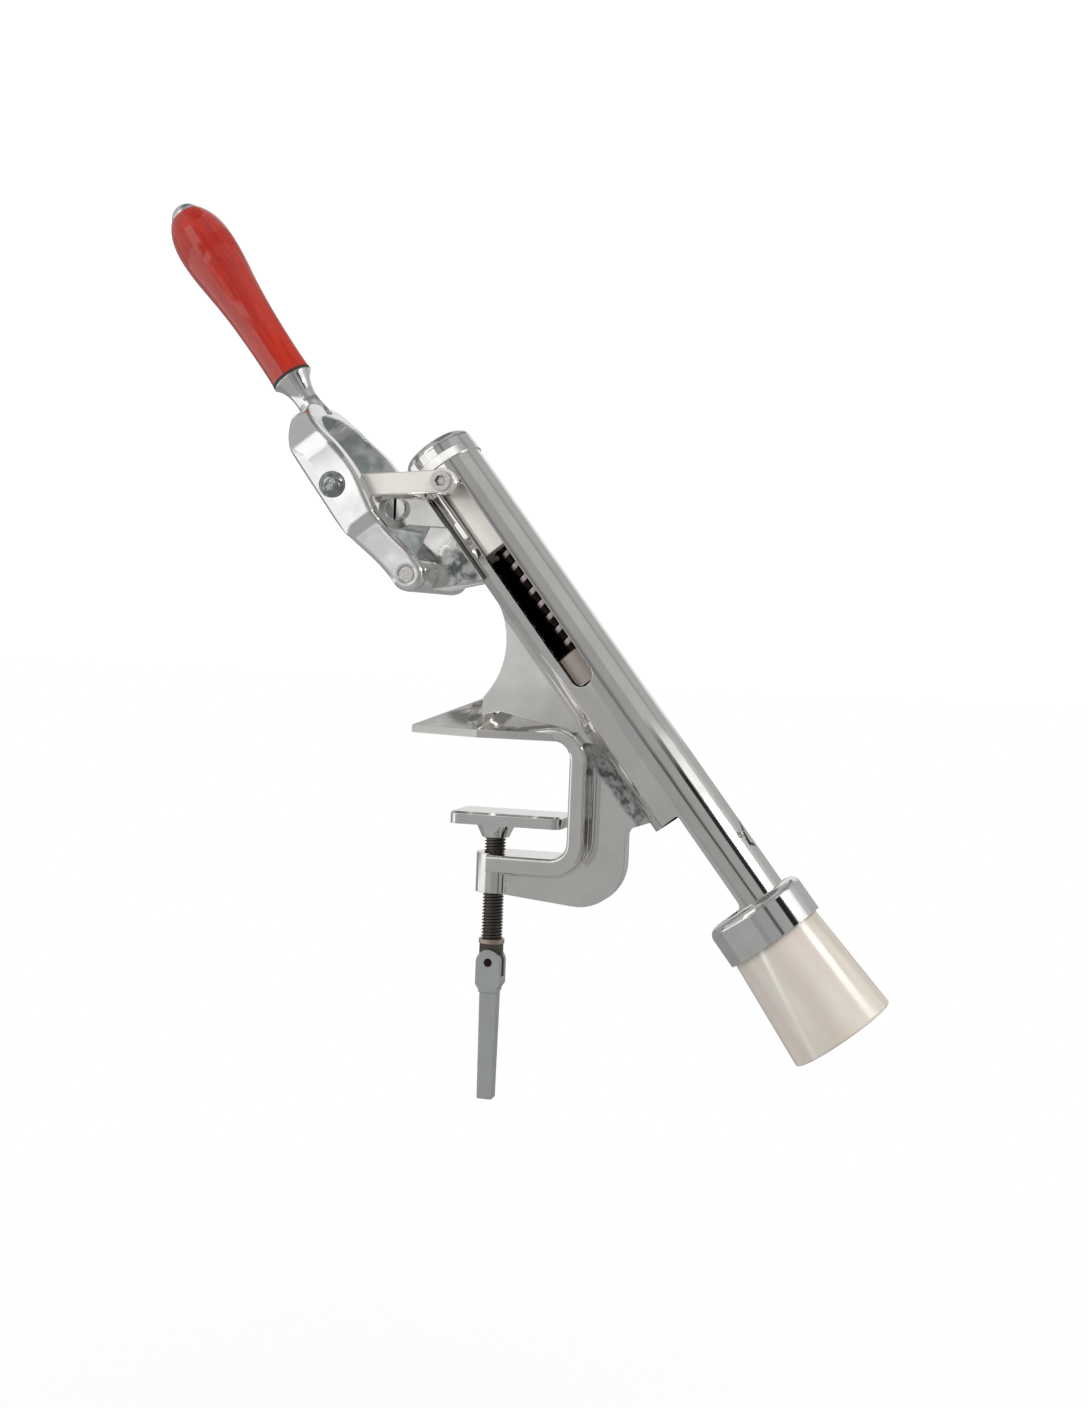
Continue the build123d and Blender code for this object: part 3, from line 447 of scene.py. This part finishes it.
# %% [markdown]
# ## The metals
# Each metal is one call of the recipe. Plated pieces share nearly one colour and gloss and
# differ in what the belt and the years did to them, and in the painted shade and highlights
# that they carry. Bars and bolts are rougher, zinc plate is dented and cloudy, and the
# spindle is blackened steel with crests lighter from wear, on one side as a painted highlight.

# %% Plated pieces
plate = (0.88, 0.875, 0.86)
# The casting: painted shade in its corners, hollows and bore, and a real dark chip.
chrome_body = metal(
    "chrome_on_the_casting", (0.885, 0.872, 0.845), 0.035, grain=(60, 1, 1), groove=0.012,
    edge=0.5 * mm, corner_shade=0.35, shade_and_skin=(shaded, 4.2 * mm, (0.10, 0.115, 0.115), 0.4),
    marks_and_shade=dark_marks,
)
# The lever: painted shade in its corners and over a rough skin between its arms.
chrome_lever = metal(
    "chrome_on_the_lever", (0.89, 0.885, 0.875), 0.04, ripple=0.16 * mm, edge=1.8 * mm,
    corner_shade=0.7, reach=5 * mm, shade_and_skin=(inner_arms, 14 * mm, (0.30, 0.335, 0.33), 0.5),
)
chrome_trim = metal("chrome_on_the_trim", plate, 0.035, corner_shade=0.6)
# The cap: painted shade in its corners and a painted highlight low on it.
chrome_cap = metal(
    "chrome_on_the_cap", plate, 0.035, corner_shade=0.3, wear_and_highlight=(cap_highlight, (0.97, 0.96, 0.94))
)
print("plated:", [m.name for m in (chrome_body, chrome_lever, chrome_trim, chrome_cap)])

# %% Bars, bolts, spindle and screw
bar_lines = (16, 1, 1)
blackened = (0.040, 0.026, 0.024)
bright_bar = metal(
    "bright_flat_bar", (0.90, 0.86, 0.81), 0.2, grain=bar_lines, metallic=0.6
)
machined = metal(
    "machined_carriage", (0.93, 0.88, 0.82), 0.26, grain=bar_lines, metallic=0.4
)
nut_metal = metal("sliding_nut", (0.60, 0.52, 0.47), 0.3, grain=(1, 1, 1))
bright_steel = metal("bright_steel", (0.72, 0.70, 0.68), 0.16, dents=0.6, corner_shade=0.9)
# The lug's screw: painted shade in its corners and in its slot.
bright_screw = metal("bright_screw", (0.80, 0.80, 0.78), 0.14, corner_shade=0.6, marks_and_shade=shade_in_screw_slot)
zinc = metal(
    "dark_zinc_plate", (0.34, 0.37, 0.35), 0.16, ripple=0.4 * mm, cloud=0.15,
    tint=(0.62, 0.65, 0.62), dents=2.2,
)
black_steel = metal("oiled_black_steel", blackened, 0.24, cloud=0.15)
# The spindle's crests are lighter from wear, and only on one side as a painted highlight.
spindle_steel = metal(
    "spindle_steel", blackened, 0.24, cloud=0.15, wear_and_highlight=(crest_wear_and_highlight, (0.78, 0.72, 0.68))
)
thread_steel = metal("dark_threaded_steel", (0.17, 0.15, 0.13), 0.3, cloud=0.15, edge=0.2 * mm)
satin_steel = metal("satin_grey_steel", (0.66, 0.69, 0.68), 0.36, grain=(1, 1, 16), corner_shade=0.5)
wire_steel = metal("hardened_wire", (0.55, 0.55, 0.56), 0.16)
bronze = metal("sintered_bronze", (0.50, 0.34, 0.20), 0.38, cloud=0.15)
copper = metal("copper_washer", (0.58, 0.50, 0.42), 0.3, cloud=0.12)
print("metals made:", len(bpy.data.materials))

# %% [markdown]
# ## Varnished grip
# The grip is turned from hardwood, stained brick red and varnished. Its grain runs along
# the handle, so the noise is turned to the handle's slope and stretched eleven times along
# it. A darker tone fills the pores and a lighter, more orange one shows in the streaks. The
# varnish is the shader's coat, and the pores barely dent it.

# %% Wood
dark_stain, light_stain = rgb(0.29, 0.007, 0.002), rgb(0.41, 0.014, 0.003)
orange_streak, pore_brown = rgb(0.48, 0.045, 0.008), rgb(0.15, 0.006, 0.003)
red_wood, place, shader = start_finish("red_stained_wood")
lie = {"longer": (11, 1, 1), "turn": handle_slope}
bands = noise(place, 4.5 * mm, 3.0, **lie)
fibres = noise(place, 1.1 * mm, 4.0, rough=0.65, **lie)
pores = noise(place, 0.6 * mm, 2.0, **lie).rises(0.60, 0.72)
stain = blend_colour(bands.rises(0.36, 0.66), dark_stain, light_stain)
stain = blend_colour(fibres.rises(0.45, 0.75) * 0.4, stain, orange_streak)
stain = blend_colour(pores * 0.6, stain, pore_brown)
set_inputs(shader, {
    "Base Color": stain,
    "Roughness": fibres.spread(0.2, 0.8, 0.34, 0.5),
    "Specular IOR Level": 0.15,
    "Coat Weight": 1.0,
    "Coat Roughness": 0.05,
    "Coat IOR": 1.66,
    "Normal": bump(fibres + pores * -0.5, 0.06 * mm),
})
print("wood:", red_wood.name)

# %% [markdown]
# ## Pearly plastic guide and black trim
# The bottle guide is moulded in a cream plastic with a faint pearl: soft streaks run from
# collar to mouth, as the melt flowed, and a light line down its near side is a painted
# highlight.
# A little light goes into such plastic, so it has some subsurface scattering, and its skin
# is glossy.


# %% Cream plastic
def painted_highlight_line(place):
    """A painted highlight: a light line down the guide's near side, fading towards the mouth."""
    down, across, out = along_barrel(place)
    top_down, top_out, slant = 148.7, -4.8, 0.1413
    line = (out - top_out + (down - top_down) * slant).size().falls(0.2, 1.9)
    return line * across.falls(-14, -13) * down.spread(150, 180, 1.0, 0.35)


dark_cream, light_cream = rgb(0.52, 0.46, 0.39), rgb(0.65, 0.615, 0.535)
pearl_cream, highlight_cream = rgb(0.575, 0.505, 0.485), rgb(0.82, 0.79, 0.71)
cream_plastic, place, shader = start_finish("pearly_cream_plastic")
flow = noise(place, 9 * mm, 1.0, longer=(9, 1, 1), turn=barrel_slope)
orange_peel = noise(place, 4 * mm, 2.0)
pearl = noise(place, 16 * mm, 1.0, longer=(3, 1, 1), turn=barrel_slope)
cream = blend_colour(flow.rises(0.3, 0.7), dark_cream, light_cream)
cream = blend_colour(pearl.rises(0.4, 0.65) * 0.6, cream, pearl_cream)
# A painted highlight down the guide's near side.
cream = blend_colour(painted_highlight_line(place), cream, highlight_cream)
set_inputs(shader, {
    "Base Color": cream,
    "Roughness": flow.spread(0.3, 0.7, 0.16, 0.22),
    "Normal": bump(flow + orange_peel * 0.03, 0.04 * mm),
    "Subsurface Weight": 0.12,
    "Subsurface Scale": 4 * mm,
})
print("plastic:", cream_plastic.name)

# %% Black ring
black_ring, place, shader = start_finish("black_fibre_ring")
speckle = noise(place, 0.8 * mm, 3.0)
set_inputs(shader, {
    "Base Color": blend_colour(speckle, rgb(0.012, 0.010, 0.010), rgb(0.05, 0.035, 0.03)),
    "Roughness": speckle.spread(0.3, 0.7, 0.4, 0.6),
    "Normal": bump(speckle, 0.05 * mm),
})
print("ring:", black_ring.name)

# %% [markdown]
# ## Finishes on the CAD nodes
# A node's shape is fixed, so dressing it is only a matter of filling its material slot.


# %% Dress the nodes
def dress(piece, finish):
    """Give the piece one finish in place of any it has."""
    piece.data.materials.clear()
    piece.data.materials.append(finish)


finishes = {
    chrome_body: ("body_casting",),
    chrome_trim: ("bell_collar", "clamp_pad"),
    chrome_cap: ("barrel_cap",),
    chrome_lever: ("lever_yoke", "handle_end_cap"),
    bright_bar: ("near_link", "far_link"),
    machined: ("carriage", "carriage_plug"),
    nut_metal: ("spindle_nut",),
    bright_screw: ("lug_screw",),
    bright_steel: ("pivot_pin", "carriage_bolts", "bolt_spacers"),
    zinc: ("link_bolts",),
    black_steel: ("handle_rod", "pad_ring", "tommy_pin"),
    satin_steel: ("tommy_handle",),
    wire_steel: ("worm",),
    bronze: ("pivot_bushes", "thrust_washer"),
    copper: ("screw_collar",),
    red_wood: ("handle_grip",),
    cream_plastic: ("bottle_guide",),
    black_ring: ("grip_ring",),
}
for finish, names in finishes.items():
    for name in names:
        dress(nodes[name], finish)
dressed = sum(len(names) for names in finishes.values())
print("nodes dressed:", dressed, "of", len(nodes))

# %% [markdown]
# ## Turned and threaded pieces
# The CAD model keeps the spindle and the clamp screw smooth, because their threads would
# cost it thousands of faces. Here both are cut for real. A thread is what a lathe makes: one
# tooth's outline, carried round the axis while it climbs by the lead. The Screw modifier
# does just that, and with no climb it also turns plain shapes such as heads and collars.
# Each is made upright at the world's middle and laid along its own axis at the end.

# %% Small tools for meshes
merge_distance = 1e-6
sharp_edge = math.radians(35)


def select_only(*pieces):
    """Select these pieces alone and make the first one active."""
    bpy.ops.object.select_all(action="DESELECT")
    for piece in pieces:
        piece.select_set(True)
    bpy.context.view_layer.objects.active = pieces[0]


def triangles(piece):
    """How many triangles the piece's faces make."""
    return sum(len(face.vertices) - 2 for face in piece.data.polygons)


print("points nearer than", merge_distance / mm, "mm are merged")


# %% Turn an outline round the axis
def turned(name, outline, closed=False, rise=0.0, turns=1, steps=32):
    """Outline points of radius and height in mm, carried round Z, rising by the lead."""
    bpy.ops.object.select_all(action="DESELECT")
    bpy.ops.mesh.primitive_circle_add(vertices=len(outline), radius=1, fill_type="NOTHING")
    piece = bpy.context.object
    piece.name = name
    for point, (radius, height) in zip(piece.data.vertices, outline):
        point.co = (radius * mm, 0, height * mm)
    last = len(outline) - 1
    if not closed:
        for edge in piece.data.edges:
            edge.select = set(edge.vertices) == {0, last}
        for point in piece.data.vertices:
            point.select = point.index in (0, last)
        bpy.ops.object.mode_set(mode="EDIT")
        bpy.ops.mesh.select_mode(type="EDGE")
        bpy.ops.mesh.delete(type="EDGE_FACE")
        bpy.ops.object.mode_set(mode="OBJECT")
    bpy.ops.object.modifier_add(type="SCREW")
    screw = piece.modifiers[-1]
    screw.screw_offset = rise * mm
    screw.iterations = turns
    screw.steps = screw.render_steps = steps
    screw.use_merge_vertices = True
    screw.merge_threshold = merge_distance
    bpy.ops.object.modifier_apply(modifier=screw.name)
    return piece


def tidy_shell(piece):
    """Merge doubles, point all faces outwards, and shade smooth but for sharp edges."""
    select_only(piece)
    bpy.ops.object.mode_set(mode="EDIT")
    bpy.ops.mesh.select_all(action="SELECT")
    bpy.ops.mesh.remove_doubles(threshold=merge_distance)
    bpy.ops.mesh.normals_make_consistent(inside=False)
    bpy.ops.object.mode_set(mode="OBJECT")
    bpy.ops.object.shade_smooth_by_angle(angle=sharp_edge)
    return piece


def threaded(name, crest, depth, lead, low, high, steps=24):
    """A closed threaded bar between two heights: crest radius, tooth depth and lead in mm."""
    root = crest - depth
    shares = ((root, 0), (root, 0.30), (crest, 0.48), (crest, 0.74), (root, 1))
    tooth = [(radius, share * lead) for radius, share in shares]
    turns = math.ceil((high - low) / lead) + 2
    piece = turned(name, tooth, rise=lead, turns=turns, steps=steps)
    bpy.ops.object.mode_set(mode="EDIT")
    bpy.ops.mesh.select_all(action="SELECT")
    bpy.ops.transform.translate(value=(0, 0, (low - lead) * mm))
    for height, side in ((low, 1), (high, -1)):
        bpy.ops.mesh.select_all(action="SELECT")
        bpy.ops.mesh.bisect(
            plane_co=(0, 0, height * mm), plane_no=(0, 0, side), use_fill=True, clear_inner=True
        )
    bpy.ops.object.mode_set(mode="OBJECT")
    return tidy_shell(piece)


print("lathe tools: turned, tidy_shell, threaded")


# %% Join pieces and lay them in their place
def joined(name, *pieces):
    """One object of several closed shells."""
    select_only(*pieces)
    bpy.ops.object.join()
    pieces[0].name = name
    return pieces[0]


def laid(piece, place, turn):
    """Turn the piece about Y, move its middle to a place, and leave that in its mesh."""
    select_only(piece)
    piece.location = place
    piece.rotation_euler = (0, turn, 0)
    bpy.ops.object.transform_apply(location=True, rotation=True, scale=True)


print("assembly tools: joined, laid")

# %% [markdown]
# ## Spindle
# The spindle is the dark bar that shows its steep thread through the barrel's slot. It
# climbs 7.3 mm a turn, as the worm does, so that the worm cuts its own way into the cork.
# Its head turns inside the carriage and its low end holds the worm in a short socket.
# Heights run down the barrel from the foot of its axis, as they do in the CAD source.

# %% Spindle with its steep thread
spindle_r, spindle_tooth, worm_lead = 6.0, 1.3, 7.3
thread_top, thread_end = -95.3, 15.0
head_outline = (
    (0, -102.6), (8.2, -102.6), (9, -101.8), (9, -96.0), (8.2, -95.2), (0, -95.2),
)
socket_outline = ((3.5, 14.9), (3.5, 20), (5.2, 20), (6, 19.2), (6, 14.9))
spindle = joined(
    "spindle_threaded",
    threaded(
        "spindle_thread", spindle_r, spindle_tooth, worm_lead, thread_top, thread_end, steps=40
    ),
    tidy_shell(turned("spindle_head", head_outline)),
    tidy_shell(turned("spindle_socket", socket_outline, closed=True)),
)
laid(spindle, barrel_foot, math.radians(90) + barrel_slope)
dress(spindle, spindle_steel)
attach(spindle, "spindle")
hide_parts("spindle")
print("spindle triangles:", triangles(spindle))

# %% [markdown]
# ## Clamp screw
# A ten millimetre screw with a fine thread lifts the pad. Its top end has a plain nose, and
# below the copper washer it is flattened to a tongue with an eye, where the folding handle
# hangs. The tongue starts as a round disc, and its upper half is pulled up to the washer.

# %% Nose and thread
screw_r, screw_tooth, screw_lead = 5.0, 0.85, 1.5
screw_low, screw_high = -97.9, -46.8
nose_outline = (
    (0, -38.3), (3.4, -38.3), (4.0, -39.0), (4.0, -44.1), (4.0, -45.3), (4.0, -47.0), (0, -47.0),
)
nose = tidy_shell(turned("screw_nose", nose_outline))
thread = threaded("screw_thread", screw_r, screw_tooth, screw_lead, screw_low, screw_high)
print("nose and thread triangles:", triangles(nose), triangles(thread))

# %% Tongue with its eye
eye_height = -106.8
tongue_top = -97.8
tongue_r, tongue_t = 5.4, 4.0
eye_r, eye_drill = 2.05, 6.0
on_edge = math.radians(90)

bpy.ops.object.select_all(action="DESELECT")
bpy.ops.mesh.primitive_cylinder_add(
    vertices=40, radius=tongue_r * mm, depth=tongue_t * mm,
    location=(0, 0, eye_height * mm), rotation=(on_edge, 0, 0),
)
tongue = bpy.context.object
bpy.ops.object.transform_apply(location=True, rotation=True, scale=True)
for point in tongue.data.vertices:
    if point.co.z > (eye_height + 0.01) * mm:
        point.co.z = tongue_top * mm
bpy.ops.mesh.primitive_cylinder_add(
    vertices=32, radius=eye_r * mm, depth=eye_drill * mm,
    location=(0, 0, eye_height * mm), rotation=(on_edge, 0, 0),
)
eye = bpy.context.object
select_only(tongue)
bpy.ops.object.modifier_add(type="BOOLEAN")
drill = tongue.modifiers[-1]
drill.object = eye
drill.operation = "DIFFERENCE"
bpy.ops.object.modifier_apply(modifier=drill.name)
bpy.data.objects.remove(eye)
print("tongue triangles:", triangles(tongue))

# %% The clamp screw in one piece
screw_x = -5.7
clamp_screw = joined("clamp_screw_threaded", thread, nose, tidy_shell(tongue))
laid(clamp_screw, (screw_x * mm, 0, 0), 0)
dress(clamp_screw, thread_steel)
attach(clamp_screw, "screw")
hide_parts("clamp_screw")
print("screw triangles:", triangles(clamp_screw))

# %% [markdown]
# ## Studio
# Chrome has hardly a colour of its own: it shows the room. Product photographers stand it
# in a tent of cloth, and where the cloth is thin or has a gap the white studio behind it
# reads as a bright band, while a thick seam draws a crisp dark line. The tent here is seen
# only in reflections, and the background stays white where the camera, gloss or glass
# looks at it.


# %% Background
def as_background(tree):
    """1 where a camera, glossy or transmission ray looks, so that all three see white."""
    ray = tree.nodes.new("ShaderNodeLightPath")
    camera_ray, glossy, through = (
        Wire(tree, ray.outputs[name])
        for name in ("Is Camera Ray", "Is Glossy Ray", "Is Transmission Ray")
    )
    return camera_ray.or_else(glossy.or_else(through))


room_light = 0.42
white_light = 1.15
world = bpy.data.worlds.new("studio")
bpy.context.scene.world = world
world.use_nodes = True
background = world.node_tree.nodes["Background"]
background.inputs["Color"].default_value = rgb(1, 1, 1)
white_or_room = as_background(world.node_tree).spread(0, 1, room_light, white_light)
world.node_tree.links.new(white_or_room.socket, background.inputs["Strength"])
print("background: white to the camera,", room_light, "as light")

# %% [markdown]
# ## Tent
# The tent is a large ball cut flat just above the floor. Its pattern is read round the
# barrel, because the barrel is the piece that mirrors the whole room: a Mapping node turns
# the space to the barrel, and the angle round it picks how open the cloth is from a ramp.
# The lower stretch of the barrel has its own ramp, with a black seam beside a wide gap.
# The cloth is then patched with sheets. Each one hangs between two heights and two angles
# round the barrel, where -1 is straight up the barrel's axis, 0 beside it and 1 straight
# down it. Each is there for one thing that it lights: the web, the lever's arm, the varnish
# of the grip, or the facets of the jaw. A later sheet covers the earlier ones.

# %% How open the cloth is
chrome_reflects = 0.88
chrome_shine = chrome_reflects * white_light


def shows(tone):
    """The opening that chrome shows as this grey of 255, by the curve of a screen's greys."""
    return ((tone / 255 + 0.055) / 1.055) ** 2.4 / chrome_shine


def seams(stops):
    """Ramp stops from angles round the barrel in degrees and the greys that chrome shows."""
    return {"stops": [((angle + 180) / 360, shows(tone)) for angle, tone in stops]}


upper_cloth = seams((
    (-180, 225), (-162, 205), (-156, 150), (-95, 150), (-88, 168), (-12, 168), (-8, 150),
    (25, 150), (28, 115), (32, 115), (35, 152), (60, 152), (63, 173), (95, 173), (97, 150),
    (108, 150), (112, 165), (146, 165), (152, 215), (180, 225),
))
lower_cloth = seams((
    (-180, 165), (-165, 150), (-95, 150), (-88, 168), (-12, 168), (-8, 150), (25, 150),
    (28, 80), (32, 80), (35, 152), (58, 155), (60, 28), (72, 40), (77, 238), (104, 240),
    (108, 185), (114, 188), (128, 170), (180, 165),
))
print("stops:", len(upper_cloth["stops"]), len(lower_cloth["stops"]))

# %% Sheets over the cloth
window, dark = 1.0, 0.2
no_end = -2
hard, crisp, soft = 0.004, 0.006, 0.02
sheets = (
    # what it lights: how open it is, its two heights, its two angles, the blur of its ends
    ("flat of the web", shows(192), -0.128, -0.25, -27, -5, soft),
    ("left edges of the lever", shows(195), -0.256, no_end, -95, -32, crisp),
    ("flat of the lever's arm", window, -0.279, -0.325, -32, 8, crisp),
    ("low end of that arm", shows(236), -0.243, -0.257, -21, -9, hard),
    ("varnish of the grip", window, -0.258, -0.47, -105, -25, crisp),
    ("varnish, a strip beside it", window, -0.345, -0.47, -25, -13, crisp),
    ("dark half of the varnish", dark, -0.345, -0.47, -13, 160, crisp),
    ("facets of the jaw", shows(172), -0.7, no_end, -180, 180, crisp),
    ("dark facets of the jaw", shows(112), -0.78, no_end, 40, 171, crisp),
    ("upper facet of the lever's arm", window, -0.44, -0.79, -27, 10, soft),
)
print("sheets for:", [name for name, *_ in sheets])

# %% Tent
tent_reach = 8.0
tent_floor = -0.44
bpy.ops.object.select_all(action="DESELECT")
bpy.ops.mesh.primitive_ico_sphere_add(subdivisions=4, radius=tent_reach, location=(0, 0, 0))
tent = bpy.context.object
tent.name = "tent"
bpy.ops.object.mode_set(mode="EDIT")
bpy.ops.mesh.select_all(action="SELECT")
bpy.ops.mesh.bisect(
    plane_co=(0, 0, tent_floor), plane_no=(0, 0, 1), use_fill=True, clear_inner=True
)
bpy.ops.object.mode_set(mode="OBJECT")
for ray_kind in ("camera", "diffuse", "shadow", "transmission"):
    setattr(tent, "visible_" + ray_kind, False)
print("tent faces:", len(tent.data.polygons))

# %% Cloth of the tent
lower_from, lower_to = -0.077, -0.05
side_blur = 1.5
material, place, shader = start_finish("tent_cloth")
tree = material.node_tree
from_barrel = place.node("Mapping", {"vector_type": "TEXTURE"}, {
    "Vector": place, "Location": looked_at, "Rotation": (0, barrel_slope, 0),
})
direction = place.node("VectorMath", {"operation": "NORMALIZE"}, {0: from_barrel})
down, across, out = direction.parts()
round_barrel = out.maths("ARCTAN2", out, across * -1) * (180 / math.pi)
angle_share = round_barrel.rises(-180, 180)
upper = place.node("ValToRGB", upper_cloth, {0: angle_share})
lower = place.node("ValToRGB", lower_cloth, {0: angle_share})
open_cloth = upper + (lower - upper) * down.rises(lower_from, lower_to)


def hung(cloth, opening, near, far, start, end, blur):
    """Another sheet over the cloth, between two heights and two angles round the barrel."""
    share = down.rises(far - blur, far + blur) * down.falls(near - blur, near + blur)
    share = share * round_barrel.rises(start - side_blur, start + side_blur)
    share = share * round_barrel.falls(end - side_blur, end + side_blur)
    return cloth + (opening - cloth) * share


for _, *sheet in sheets:
    open_cloth = hung(open_cloth, *sheet)
closed = place.node("Emission", None, {"Color": rgb(0, 0, 0), "Strength": 0.0})
gap = place.node("BsdfTransparent", None, {"Color": rgb(1, 1, 1)})
veil = place.node("MixShader", None, {0: open_cloth, 1: closed, 2: gap})
output = next(n for n in tree.nodes if n.type == "OUTPUT_MATERIAL")
tree.links.new(veil.socket, output.inputs["Surface"])
tree.nodes.remove(shader)
tent.data.materials.append(material)
print("cloth patched with", len(sheets), "sheets")

# %% [markdown]
# ## Floor
# The floor is pale and matt and takes the corkscrew's shadow. Seen by the camera it glows
# a little, and more with distance, so that it passes into the white background without an
# edge.

# %% Floor
floor_drop = 0.45
floor_grey = 0.86
near, far = 0.2, 0.9
near_glow, far_glow = 0.92, 1.0
bpy.ops.object.select_all(action="DESELECT")
bpy.ops.mesh.primitive_plane_add(size=30, location=(0, 0, -floor_drop))
floor = bpy.context.object
floor.name = "floor"
material, place, shader = start_finish("pale_floor")
tree = material.node_tree
set_inputs(shader, {"Base Color": rgb(floor_grey, floor_grey, floor_grey), "Roughness": 0.9})
away = place.node("VectorMath", {"operation": "LENGTH"}, {0: place}, out=1)
share = as_background(tree) * away.spread(near, far, near_glow, far_glow)
glow = place.node("Emission", None, {"Color": rgb(1, 1, 1), "Strength": 1.0})
surface = place.node("MixShader", None, {0: share, 1: Wire(tree, shader.outputs[0]), 2: glow})
output = next(n for n in tree.nodes if n.type == "OUTPUT_MATERIAL")
tree.links.new(surface.socket, output.inputs["Surface"])
floor.data.materials.append(material)
print("floor", floor_drop, "m below the jaw")

# %% [markdown]
# ## Lamps
# Two wide lamps give the wood, the plastic and the floor their light and shade. The tent
# would hide them from the chrome, so they don't show in reflections. A narrow strip lamp
# hangs in the tent's wide gap, and draws the crisp line of light down the bottle guide.


# %% Lamps
def lamp(name, aimed_at, direction, side, size, power, mirrored):
    """A soft lamp a metre or so off, its width along side, which mirrors may show."""
    facing = Vector(direction)
    distance = facing.length
    facing.normalize()
    side = (Vector(side) - facing * facing.dot(Vector(side))).normalized()
    bpy.ops.object.light_add(type="AREA")
    made = bpy.context.object
    made.name = name
    made.matrix_world = Matrix.Translation(aimed_at + facing * distance) @ Matrix(
        (side, facing.cross(side), facing)
    ).transposed().to_4x4()
    made.data.shape = "RECTANGLE"
    made.data.size, made.data.size_y = size
    made.data.energy = power
    made.visible_glossy = mirrored


level = (1, 0, 0)
to_front = Vector((0, -1, 0))
strip_turn = math.radians(86)
strip_distance = 1.2
strip_aim = barrel_foot + barrel_down * 125 * mm
strip_way = to_front * math.cos(strip_turn) + barrel_out * math.sin(strip_turn)
lamp("lamp_key", looked_at, (0.65, -0.38, 0.80), level, (0.5, 0.9), 9, False)
lamp("lamp_fill", looked_at, (-0.89, -0.89, 0.39), level, (0.9, 0.9), 8.5, False)
lamp("lamp_strip", strip_aim, strip_way * strip_distance, barrel_down, (0.14, 0.40), 2.3, True)

# %% [markdown]
